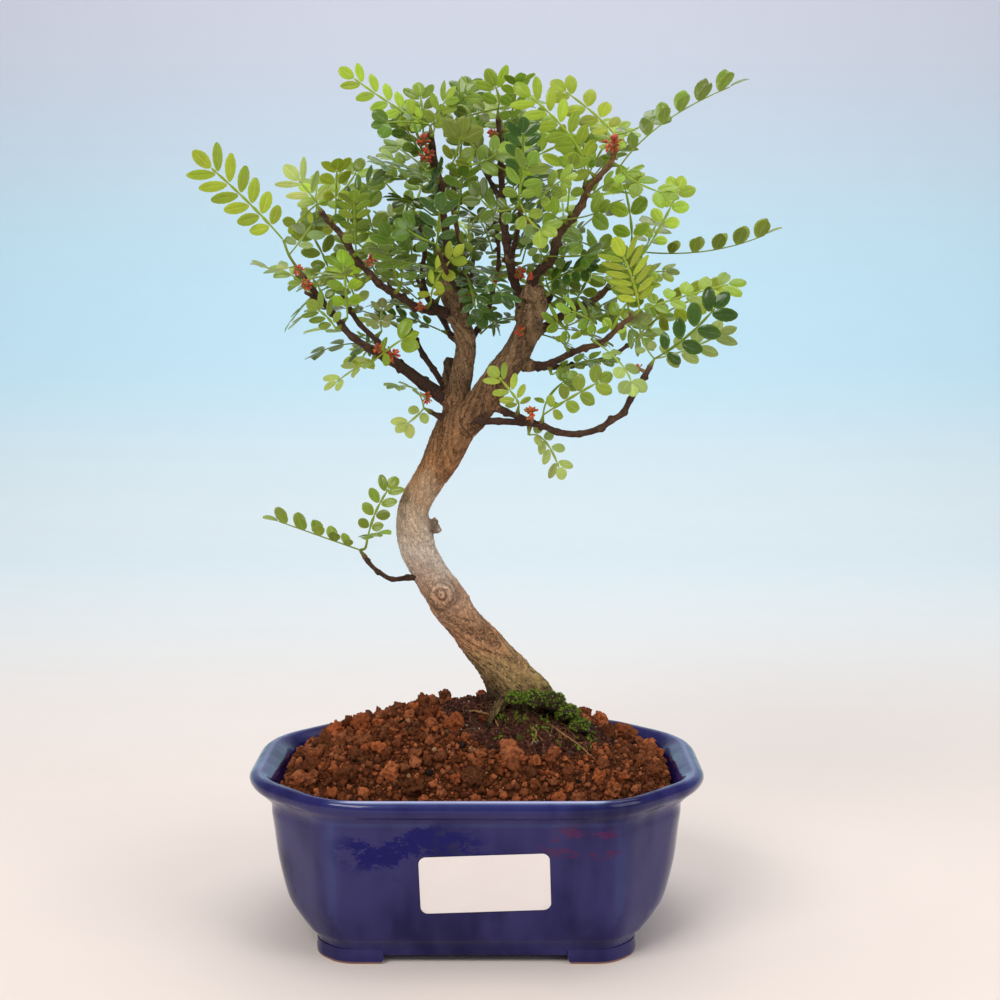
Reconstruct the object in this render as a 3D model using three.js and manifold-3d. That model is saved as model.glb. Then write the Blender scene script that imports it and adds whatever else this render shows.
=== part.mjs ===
import * as THREE from 'three';
import { mergeVertices } from 'three/addons/utils/BufferGeometryUtils.js';
import Module from 'manifold-3d';

// A Japanese pepper bonsai in its pot. Millimetres, +Z up, -Y is the front.
// Points are first written from the centre of the pot's underside; the finished model is then moved so
// that its origin is the middle of the ground its whole crown covers.

// Driving dimensions of the pot
const RIM = { length: 169, depth: 122 };
const POT_HEIGHT = 62.2;
const FOOT_HEIGHT = 3;
const FLOOR_TOP = 9;
const DRAIN = { radius: 6, spacing: 50 };
const LABEL = { width: 45.7, height: 21.2, thick: 0.5, corner: 2.6, x: 3.4, z: 32, turn: 0.035 };
const GAP = 0.35;

// Heap of soil
const HEAP = { edge: 57, rise: 25, halfLength: 74, halfDepth: 52, power: 1.8 };
const ROOT_BALL = { x: 18, y: 1, rise: 4, spread: 14 };
const BIG_GRAINS = 26;

// Where the eye of the front view is: [x, y, z]
const EYE = [8.65, -595, 228.8];

const wasm = await Module();
wasm.setup();

const model = new THREE.Group();

const finish = {
  glaze: new THREE.MeshStandardMaterial({ color: 0x141a52, roughness: 0.12, metalness: 0 }),
  akadama: new THREE.MeshStandardMaterial({ color: 0x6e3318, roughness: 0.95, metalness: 0 }),
  bark: new THREE.MeshStandardMaterial({ color: 0x7d5a3c, roughness: 0.9, metalness: 0 }),
  moss: new THREE.MeshStandardMaterial({ color: 0x3c5a20, roughness: 0.95, metalness: 0 }),
  paper: new THREE.MeshStandardMaterial({ color: 0xf2f1ee, roughness: 0.6, metalness: 0 }),
  leaf: new THREE.MeshStandardMaterial({ color: 0x6f9a2c, roughness: 0.5, metalness: 0 }),
  bud: new THREE.MeshStandardMaterial({ color: 0xb0402a, roughness: 0.6, metalness: 0 }),
};

// Vectors as plain arrays
const add = (a, b) => [a[0] + b[0], a[1] + b[1], a[2] + b[2]];
const sub = (a, b) => [a[0] - b[0], a[1] - b[1], a[2] - b[2]];
const mul = (a, k) => [a[0] * k, a[1] * k, a[2] * k];
const dot = (a, b) => a[0] * b[0] + a[1] * b[1] + a[2] * b[2];
const cross = (a, b) => [a[1] * b[2] - a[2] * b[1], a[2] * b[0] - a[0] * b[2], a[0] * b[1] - a[1] * b[0]];
const size = (a) => Math.sqrt(dot(a, a));
const unit = (a) => mul(a, 1 / size(a));
const across = (a, axis) => sub(a, mul(axis, dot(a, axis)));
const radians = (degrees) => (degrees * Math.PI) / 180;

function turned(v, axis, angle) {
  const c = Math.cos(angle);
  const s = Math.sin(angle);
  return add(add(mul(v, c), mul(cross(axis, v), s)), mul(axis, dot(axis, v) * (1 - c)));
}

// A point read in the front view at [x, z], on its line of sight at the stated depth y
function spot([x, z, y]) {
  const slide = (y - EYE[1]) / -EYE[1];
  return [EYE[0] + (x - EYE[0]) * slide, y, EYE[2] + (z - EYE[2]) * slide];
}

// Seeded random draws between 0 and 1
function dice(seed) {
  let state = seed;
  return () => {
    state = (state * 16807) % 2147483647;
    return state / 2147483647;
  };
}

// Solids
function toSolid(geometry) {
  const bare = geometry.clone();
  bare.deleteAttribute('normal');
  bare.deleteAttribute('uv');
  const merged = mergeVertices(bare, 1e-4);
  return new wasm.Manifold(new wasm.Mesh({
    numProp: 3,
    vertProperties: new Float32Array(merged.attributes.position.array),
    triVerts: new Uint32Array(merged.index.array),
  }));
}

function toGeometry(solid) {
  const mesh = solid.getMesh();
  const geometry = new THREE.BufferGeometry();
  geometry.setAttribute('position', new THREE.BufferAttribute(new Float32Array(mesh.vertProperties), 3));
  geometry.setIndex(new THREE.BufferAttribute(new Uint32Array(mesh.triVerts), 1));
  geometry.computeVertexNormals();
  return geometry;
}

function largestPiece(solid) {
  const pieces = solid.decompose();
  return pieces.reduce((best, piece) => (piece.volume() > best.volume() ? piece : best));
}

function place(name, solid, material) {
  const mesh = new THREE.Mesh(toGeometry(largestPiece(solid)), material);
  mesh.name = name;
  model.add(mesh);
}

// A closed skin over vertices and triangles, with its faces turned out
function skin(vertices, triangles) {
  let volume = 0;
  for (const [a, b, c] of triangles) {
    volume += dot(vertices[a], cross(vertices[b], vertices[c]));
  }
  const faces = volume < 0 ? triangles.map(([a, b, c]) => [a, c, b]) : triangles;
  return new wasm.Manifold(new wasm.Mesh({
    numProp: 3,
    vertProperties: new Float32Array(vertices.flat()),
    triVerts: new Uint32Array(faces.flat()),
  }));
}

// Rings of equal count stacked into one solid, closed by a fan at each end
function loft(rings) {
  const count = rings[0].length;
  const vertices = rings.flat();
  const triangles = [];
  const first = vertices.length;
  const middle = (ring) => mul(ring.reduce(add), 1 / ring.length);
  vertices.push(middle(rings[0]), middle(rings[rings.length - 1]));
  for (let i = 0; i < count; i += 1) {
    const j = (i + 1) % count;
    triangles.push([first, j, i]);
    for (let r = 0; r + 1 < rings.length; r += 1) {
      const low = r * count;
      const high = low + count;
      triangles.push([low + i, low + j, high + j], [low + i, high + j, high + i]);
    }
    const top = (rings.length - 1) * count;
    triangles.push([first + 1, top + i, top + j]);
  }
  return skin(vertices, triangles);
}

// A tapered tube with a ring at each point; bulge(angle, ring) scales its radius there
function limb(points, radii, sides, bulge = () => 1) {
  const rings = [];
  let side = null;
  points.forEach((point, k) => {
    const before = points[Math.max(k - 1, 0)];
    const after = points[Math.min(k + 1, points.length - 1)];
    const along = unit(sub(after, before));
    side = unit(across(side ?? [0, -1, 0.01], along));
    const other = cross(along, side);
    const ring = [];
    for (let i = 0; i < sides; i += 1) {
      const angle = (2 * Math.PI * i) / sides;
      const radius = radii[k] * bulge(angle, k);
      ring.push(add(point, add(mul(side, radius * Math.cos(angle)), mul(other, radius * Math.sin(angle)))));
    }
    rings.push(ring);
  });
  return loft(rings);
}

// Radii falling evenly from the first to the last of a count of points
function taper(count, from, to) {
  return Array.from({ length: count }, (_, i) => from + ((to - from) * i) / (count - 1));
}

// Pot: an eight-sided plan with rounded corners. c and e are where the front and the end faces stop.
function potRing({ z, a, b, c, e, round }) {
  const corners = [[c, -b], [a, -e], [a, e], [c, b], [-c, b], [-a, e], [-a, -e], [-c, -b]];
  const ring = [];
  corners.forEach((corner, i) => {
    const before = corners[(i + 7) % 8];
    const after = corners[(i + 1) % 8];
    const towards = (other) => {
      const reach = Math.hypot(other[0] - corner[0], other[1] - corner[1]);
      const k = Math.min(round, 0.42 * reach) / reach;
      return [corner[0] + (other[0] - corner[0]) * k, corner[1] + (other[1] - corner[1]) * k];
    };
    const start = towards(before);
    const end = towards(after);
    const bend = [0, 1].map((n) => (start[n] + 2 * corner[n] + end[n]) / 4);
    for (const [x, y] of [start, bend, end]) {
      ring.push([x, y, z]);
    }
  });
  return ring;
}

const A = RIM.length / 2;
const B = RIM.depth / 2;
const potOutside = [
  { z: FOOT_HEIGHT, a: 56.5, b: 48.5, c: 47.5, e: 39, round: 6 },
  { z: 8.2, a: 58.6, b: 50.2, c: 48.6, e: 40, round: 6 },
  { z: 9.2, a: 60.2, b: 51.2, c: 49, e: 40, round: 6 },
  { z: 15, a: 66.3, b: 53.2, c: 49.7, e: 36.6, round: 8 },
  { z: 20, a: 69.2, b: 54.4, c: 50, e: 35.2, round: 8 },
  { z: 32, a: 72.4, b: 55.7, c: 50.3, e: 33.6, round: 8 },
  { z: 44, a: 73.9, b: 57, c: 50.6, e: 33.7, round: 8 },
  { z: 53.5, a: 75.2, b: 57.6, c: 50.9, e: 33.3, round: 9 },
];
const potLip = [
  { z: 55.6, a: A - 5, b: B - 2.2, c: 51.3, e: 30.5, round: 12 },
  { z: 57.3, a: A - 1.3, b: B - 0.6, c: 51.8, e: 29, round: 15 },
  { z: 59.3, a: A, b: B, c: 52, e: 28.5, round: 16 },
  { z: 61.3, a: A - 1.2, b: B - 0.7, c: 51.8, e: 28.8, round: 15 },
  { z: POT_HEIGHT, a: A - 3.9, b: B - 2.6, c: 51, e: 28.8, round: 13 },
  { z: 61.2, a: A - 7.1, b: B - 5.4, c: 50, e: 28, round: 10 },
];
const potInside = [
  { z: 56, a: 73.2, b: 52.6, c: 48, e: 27.5, round: 6 },
  { z: 35, a: 68.5, b: 50.5, c: 46.5, e: 29, round: 6 },
  { z: 12, a: 58, b: 45, c: 43, e: 30, round: 6 },
  { z: FLOOR_TOP, a: 54, b: 42, c: 40, e: 29, round: 6 },
];

const prism = (outline, low, high) => loft([low, high].map((z) => outline.map(([x, y]) => [x, y, z])));

function block(low, high) {
  const sides = sub(high, low);
  const geometry = new THREE.BoxGeometry(...sides);
  geometry.translate(...add(low, mul(sides, 0.5)));
  return toSolid(geometry);
}

function upright(x, y, low, high, radius, sides) {
  const geometry = new THREE.CylinderGeometry(radius, radius, high - low, sides);
  geometry.rotateX(Math.PI / 2);
  geometry.translate(x, y, (low + high) / 2);
  return toSolid(geometry);
}

function makePot() {
  let pot = loft([...potOutside, ...potLip, ...potInside].map(potRing));
  const footOutside = potRing({ z: 0, a: 58, b: 49.6, c: 48.4, e: 39.6, round: 6 });
  const footInside = potRing({ z: 0, a: 48, b: 40, c: 42, e: 34, round: 4 });
  const band = prism(footOutside, 0, FOOT_HEIGHT + 1).subtract(prism(footInside, -1, FOOT_HEIGHT + 2));
  const footReach = { x: 28.5, y: 24 };
  for (const [sx, sy] of [[-1, -1], [1, -1], [1, 1], [-1, 1]]) {
    const near = [sx * footReach.x, sy * footReach.y];
    const far = [sx * A, sy * B];
    const low = [Math.min(near[0], far[0]), Math.min(near[1], far[1]), -1];
    const high = [Math.max(near[0], far[0]), Math.max(near[1], far[1]), FOOT_HEIGHT + 2];
    pot = pot.add(band.intersect(block(low, high)));
  }
  for (const side of [-1, 1]) {
    pot = pot.subtract(upright((side * DRAIN.spacing) / 2, 0, -1, FLOOR_TOP + 1, DRAIN.radius, 10));
  }
  return pot;
}

// Paper label: a thin plate with round corners, parallel to the flat middle of the front face
function makeLabel() {
  const shape = new THREE.Shape();
  const w = LABEL.width / 2;
  const h = LABEL.height / 2;
  const r = LABEL.corner;
  shape.moveTo(-w + r, -h);
  for (const [sx, sy, from] of [[1, -1, -90], [1, 1, 0], [-1, 1, 90], [-1, -1, 180]]) {
    shape.absarc(sx * (w - r), sy * (h - r), r, radians(from), radians(from + 90), false);
  }
  const options = { depth: LABEL.thick, bevelEnabled: false, curveSegments: 2 };
  const geometry = new THREE.ExtrudeGeometry(shape, options);
  const [low, high] = [potOutside[4], potOutside[6]];
  const lean = Math.atan2(high.b - low.b, high.z - low.z);
  const face = low.b + ((high.b - low.b) * (LABEL.z - low.z)) / (high.z - low.z);
  geometry.rotateZ(LABEL.turn);
  geometry.rotateX(Math.PI / 2 + lean);
  geometry.translate(LABEL.x, -face - GAP, LABEL.z);
  return toSolid(geometry);
}

// Soil
function potRadius(angle, { a, b, c, e }) {
  const x = Math.abs(Math.cos(angle));
  const y = Math.abs(Math.sin(angle));
  const slant = (c * (b - e) + b * (a - c)) / ((b - e) * x + (a - c) * y);
  return Math.min(a / Math.max(x, 1e-9), b / Math.max(y, 1e-9), slant);
}

function heapHeight(x, y) {
  const reach = Math.cbrt((Math.abs(x) / HEAP.halfLength) ** 3 + (Math.abs(y) / HEAP.halfDepth) ** 3);
  const ball = ((x - ROOT_BALL.x) ** 2 + (y - ROOT_BALL.y) ** 2) / (2 * ROOT_BALL.spread ** 2);
  return HEAP.edge + HEAP.rise * (1 - Math.min(reach, 1) ** HEAP.power) + ROOT_BALL.rise * Math.exp(-ball);
}

// Crumbs of the surface between the big grains
const crumbs = (x, y) => 0.8 * Math.sin(x * 1.13 + 2 * Math.sin(y * 0.71)) * Math.cos(y * 1.31 + x * 0.37);

const SOIL_INSET = 0.8;
const SOIL_SIDES = 26;

function soilRing(section, z, scale) {
  const ring = [];
  for (let i = 0; i < SOIL_SIDES; i += 1) {
    const angle = (2 * Math.PI * i) / SOIL_SIDES;
    const radius = (potRadius(angle, section) - SOIL_INSET) * 0.985 * scale;
    const x = radius * Math.cos(angle);
    const y = radius * Math.sin(angle);
    ring.push([x, y, z ?? heapHeight(x, y) + crumbs(x, y)]);
  }
  return ring;
}

function makeSoil() {
  const [mouth, waist, low, floor] = potInside;
  const rings = [
    soilRing(floor, FLOOR_TOP + GAP, 1),
    soilRing(low, low.z + GAP, 1),
    soilRing(waist, waist.z, 1),
    soilRing(mouth, mouth.z - 1.5, 1),
  ];
  for (const scale of [0.985, 0.84, 0.68, 0.51, 0.33, 0.14]) {
    rings.push(soilRing(mouth, null, scale));
  }
  let soil = loft(rings);
  const draw = dice(4711);
  const grains = [];
  while (grains.length < BIG_GRAINS) {
    const angle = 2 * Math.PI * draw();
    const scale = Math.sqrt(draw()) * 0.93;
    const radius = potRadius(angle, mouth) * scale;
    const grain = { x: radius * Math.cos(angle), y: radius * Math.sin(angle), r: 2.2 + 2 * draw() ** 2 };
    const spin = [draw(), draw(), draw()];
    const clearOfTrunk = Math.hypot(grain.x - ROOT_BALL.x, grain.y - ROOT_BALL.y) > 21;
    const clearOfRim = potRadius(angle, mouth) - radius > grain.r + 1.5;
    const apart = grains.every((g) => Math.hypot(g.x - grain.x, g.y - grain.y) > 0.9 * (g.r + grain.r));
    if (clearOfTrunk && clearOfRim && apart) {
      grains.push({ ...grain, spin });
    }
  }
  for (const { x, y, r, spin } of grains) {
    const geometry = new THREE.OctahedronGeometry(1.2 * r, 0);
    geometry.scale(1.1, 0.95, 0.85);
    geometry.rotateX(3 * spin[0]);
    geometry.rotateZ(6 * spin[1]);
    geometry.translate(x, y, heapHeight(x, y) + 0.25 * r);
    soil = soil.add(toSolid(geometry));
  }
  return soil.subtract(trunkBase(GAP));
}

// Trunk. Each row: x and z in the front view, depth y, radius.
const trunkRows = [
  [19, 66, 1, 8], [18.6, 74, 1, 10.5], [17.6, 81, 1, 12.6], [16.2, 86, 1, 11.6], [13.3, 90.5, 1, 9.7],
  [10.5, 95, 1, 8.5], [6.6, 100, 1, 7.5], [2.2, 105, 1, 7.5], [-2.2, 110, 1, 6.9], [-6.2, 115, 1, 6.6],
  [-10.2, 120.5, 1, 7.4], [-12.6, 125, 0, 7.2], [-16, 130, 0, 6.6], [-18.9, 135, 0, 6.4], [-21.7, 140.5, -1, 6.5],
  [-23, 146, -1, 6.9], [-24, 152, -1, 6.1], [-23.6, 157, -1, 5.7], [-21, 163, -1, 5.7], [-17, 169.5, 0, 5.9],
  [-13.6, 175, 0, 6.7], [-11, 181, 0, 7.3], [-8.2, 187, 0, 7.4], [-6.6, 192, 0, 6.2], [-6, 196, 0, 3.4],
];
const TRUNK_SIDES = 11;
const BASE_ROWS = 9;

// Ridges that run down the trunk, deepest at the root flare
function barkRidges(angle, k) {
  const depth = k < 7 ? 0.075 : 0.03;
  return 1 + depth * Math.sin(5 * angle + 0.6 * k) + 0.02 * Math.cos(3 * angle);
}

function trunkPart(rows, extra) {
  return limb(rows.map(spot), rows.map((row) => row[3] + extra), TRUNK_SIDES, barkRidges);
}

// Surface roots: points in the front view, with the radius at the start and the end
const roots = [
  { radii: [4.2, 1.2], points: [[20, 86, -3], [27, 83.5, -6], [33, 79.5, -9], [38, 75, -11], [42, 70.5, -13]] },
  { radii: [3.6, 1], points: [[12, 86, -6], [9, 82, -12], [6, 78.5, -17], [4, 73, -21]] },
  { radii: [3.6, 1], points: [[19, 86, 6], [26, 83.5, 11], [33, 79, 15], [37, 73, 18]] },
  { radii: [3.4, 1], points: [[10, 87, 5], [4, 84, 11], [-2, 80, 15], [-6, 76, 17]] },
];

function trunkBase(extra) {
  return withRoots(trunkPart(trunkRows.slice(0, BASE_ROWS), extra), extra);
}

function withRoots(base, extra) {
  let solid = base;
  for (const root of roots) {
    const points = root.points.map(spot);
    const radii = taper(points.length, root.radii[0], root.radii[1]).map((r) => r + extra);
    solid = solid.add(limb(points, radii, 5));
  }
  return solid;
}

// Woody branches: points in the front view, with the radius at the start and the end
const branches = {
  left_stem: { radii: [4.6, 3.1], points: [[-7.4, 188, 0], [-8.2, 195, 0], [-6.7, 200, 1], [-5.8, 206, 1],
    [-4.8, 212, 2], [-4, 218, 3], [-5, 224, 3], [-7.5, 230, 3], [-10, 236, 4], [-11, 241, 4]] },
  right_limb: { radii: [6.2, 4.1], points: [[-6, 188, 0], [-1, 193, -2], [3.5, 199, -4], [7.3, 205, -5],
    [11, 210, -5], [14.7, 215, -5], [17.3, 220, -4], [19.5, 226, -4], [21.6, 232, -3], [22.6, 237, -3]] },
  limb_cap: { radii: [4.2, 1.9], points: [[21.8, 233, -3], [22.7, 237, -3], [22.9, 240.2, -3]] },
  hidden_stub: { radii: [2.8, 2.3], points: [[-8, 197, 4], [-9.8, 203, 7], [-10, 209, 8], [-10, 213.5, 8]] },
  low_left: { radii: [2.1, 1], points: [[-9, 196, -1], [-14, 199, -3], [-20, 203, -5], [-28, 209.5, -8],
    [-34, 213, -10], [-40, 217, -12], [-46, 221, -14], [-50, 225.5, -16], [-53, 229.5, -17], [-57, 234, -18],
    [-60, 238, -19], [-64, 243.5, -20]] },
  low_left_snag: { radii: [0.8, 0.6], points: [[-57.5, 234.6, -18], [-60.5, 236, -19], [-63.5, 237.5, -20]] },
  back_left: { radii: [1.6, 0.9], points: [[-8.5, 199, 2], [-13, 201, 4], [-19, 205, 9], [-24, 208.5, 14],
    [-28, 211.5, 19], [-34, 216, 25]] },
  mid_left: { radii: [1.3, 0.9], points: [[-33.5, 213, -10], [-36.5, 219, -7], [-43, 225.5, -3], [-46, 230, 0],
    [-49, 236, 2], [-51.5, 239, 3], [-53, 242, 4]] },
  high_back_left: { radii: [1.5, 0.9], points: [[-8, 200, 4], [-12, 203, 7], [-16, 209, 11], [-19.5, 214, 14],
    [-22.5, 219.5, 17], [-25.5, 226, 20], [-28.5, 231, 23], [-31, 236.5, 26], [-33, 243, 30]] },
  high_left: { radii: [1.8, 1.1], points: [[-8, 228.5, 3], [-12, 230, 0], [-17, 230.5, -3], [-22, 232, -6],
    [-27, 235, -8], [-32, 238, -9], [-36, 240.5, -10], [-39, 244, -11], [-43, 248, -12], [-47, 254, -12],
    [-51, 260, -12], [-54.5, 263.5, -12], [-57, 267, -12]] },
  rear_left: { radii: [1.4, 0.9], points: [[-5.5, 219, 4], [-9.5, 221.5, 10], [-12, 226.5, 16], [-16, 232, 23],
    [-20, 238, 29], [-23, 245, 34]] },
  left_twig: { radii: [1.5, 0.9], points: [[-8, 229, 5], [-13, 231, 8], [-17, 234, 12], [-19, 238, 15],
    [-20, 245, 17], [-19, 253, 19], [-20, 260, 21], [-22, 265, 23]] },
  left_leader: { radii: [2, 1.2], points: [[-10.7, 238, 4], [-10.5, 250, 3], [-11.5, 262, 2], [-13, 270, 1],
    [-13, 276, 0], [-15, 284, -1], [-16, 290, -2], [-16.5, 295, -2]] },
  inner_twig: { radii: [1.5, 0.9], points: [[-5.5, 226, 2], [-4.5, 236, -2], [-4, 243, -5], [-4.4, 248, -7],
    [-6.5, 257, -9], [-8, 266, -9], [-8.3, 274, -8], [-9, 281, -8]] },
  front_twig: { radii: [1.2, 0.8], points: [[-4.5, 236, -2], [-7, 238.5, -8], [-9.5, 242, -14], [-12, 247, -22],
    [-14, 253, -28]] },
  middle_twig: { radii: [1.3, 0.8], points: [[-3, 219, 4], [0.5, 224, 9], [4, 230, 13], [6, 238, 17],
    [8, 247, 20], [8, 256, 23], [7, 263, 26]] },
  leader: { radii: [2.4, 1.1], points: [[17.8, 228, -2], [15.5, 236, 1], [13.5, 243, 3], [12, 249, 4],
    [11, 256, 5], [10, 263, 5], [9.3, 271, 5], [9.2, 280, 4], [8.6, 289, 4], [8, 300, 4]] },
  leader_front: { radii: [1.3, 0.8], points: [[12, 249, 4], [14, 255, -6], [15.5, 262, -18], [16, 268, -27]] },
  leader_back: { radii: [1.2, 0.8], points: [[9.4, 270, 5], [6, 276, 16], [2, 283, 26], [-1, 289, 34]] },
  top_right: { radii: [2.3, 1], points: [[19.5, 235, -4], [20.8, 242, -5], [24, 246, -6], [28, 249.5, -7],
    [29, 255, -8], [31.3, 260, -8], [35, 264, -9], [38.5, 269, -9], [41, 275, -10], [44.5, 279, -10],
    [49, 284, -10], [50.2, 288, -10], [50.3, 291.5, -10]] },
  top_right_back: { radii: [1.2, 0.8], points: [[35, 264, -9], [37, 268, 2], [39, 272, 13], [40, 277, 22]] },
  high_right: { radii: [1.8, 1.3], points: [[21, 222, -2], [26, 225, 2], [31, 228.5, 5], [37, 232, 8],
    [42, 234, 11], [46, 236.5, 13], [50, 241.5, 15]] },
  mid_right: { radii: [1.7, 1], points: [[18, 210.8, -6], [23, 210.3, -9], [28, 211.5, -13], [35, 215, -17],
    [40, 217, -20], [45, 218.3, -22], [49, 221, -24], [53, 225, -26], [58, 229, -28]] },
  mid_right_back: { radii: [1.5, 0.9], points: [[13, 211.5, -4], [18, 210.5, 0], [25, 209.8, 5],
    [35, 210.3, 12], [44, 212, 18], [50, 214, 22], [56, 218, 27]] },
  low_right: { radii: [1.6, 1.2], points: [[-4, 191.5, -4], [2, 190, -8], [8, 189.8, -10], [17, 189.3, -12],
    [24, 188.3, -15], [30, 185.8, -18], [38, 185, -21], [46, 187.3, -24], [50, 190, -25], [54.5, 193, -26],
    [57, 198, -27], [59.5, 201.5, -27], [62, 206, -28], [64.5, 210.5, -28]] },
  low_right_fork: { radii: [1.5, 1.2], points: [[5, 196, -6], [11, 193.2, -9], [16, 191.3, -11], [22, 189, -14]] },
  low_left_spur: { radii: [1.3, 0.9], points: [[-10, 189.5, -2], [-14, 191.6, -5], [-17.5, 193.5, -7]] },
  trunk_twig: { radii: [1.2, 0.9], points: [[-20, 131.3, -2], [-26, 130.8, -5], [-32, 130.3, -8],
    [-37, 133, -10], [-41, 137, -12], [-42.3, 139, -12]] },
  rear_right: { radii: [1.8, 0.9], points: [[16, 218, 0], [19, 222, 8], [23, 228, 17], [27, 235, 26],
    [30, 243, 34], [32, 252, 40]] },
  rear_middle: { radii: [1.6, 0.9], points: [[-5, 223, 5], [-4, 228, 14], [-3, 234, 23], [-2, 242, 32],
    [-1, 250, 38]] },
};
for (const branch of Object.values(branches)) {
  branch.line = branch.points.map(spot);
  branch.girth = taper(branch.line.length, branch.radii[0], branch.radii[1]);
}

// The dead snag on the bend and the healed scar on the front of the trunk
const snags = [
  { radii: [2.6, 1.2], points: [[-19, 149.5, -1], [-16.5, 150.5, -2], [-14.2, 148.2, -3]] },
  { radii: [2, 1], points: [[-18, 150.5, 0], [-16, 152, 0], [-15, 153, 0]] },
];
const SCAR = { centre: [-13.4, 124.6, -6.2], radius: 4.4, thick: 1.5 };

function makeWood() {
  let wood = withRoots(trunkPart(trunkRows, 0), 0);
  for (const { line, girth } of Object.values(branches)) {
    wood = wood.add(limb(line, girth, girth[0] > 3 ? 8 : 4 + Math.round(girth[0] / 4)));
  }
  for (const { points, radii } of snags) {
    wood = wood.add(limb(points.map(spot), taper(points.length, radii[0], radii[1]), 5));
  }
  const scar = new THREE.TorusGeometry(SCAR.radius, SCAR.thick, 5, 9);
  scar.rotateX(Math.PI / 2);
  scar.rotateZ(radians(-8));
  scar.translate(...spot([SCAR.centre[0], SCAR.centre[1], SCAR.centre[2]]));
  return wood.add(toSolid(scar));
}

// Moss against the foot of the trunk: overlapping cushions, cut clear of the wood and the soil
const mossCushions = [
  [15, 84.5, -13, 4.2], [22, 84, -13, 5], [28.5, 83.5, -12, 5], [34, 79, -13, 4.6], [39, 74, -15, 4],
];

function makeMoss(soil) {
  let moss = null;
  for (const [x, z, y, r] of mossCushions) {
    const geometry = new THREE.IcosahedronGeometry(r, 0);
    geometry.scale(1.1, 1.1, 0.85);
    geometry.translate(...spot([x, z, y]));
    const cushion = toSolid(geometry);
    moss = moss ? moss.add(cushion) : cushion;
  }
  return moss.subtract(trunkBase(GAP)).subtract(soil.translate(0, 0, GAP));
}

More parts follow.
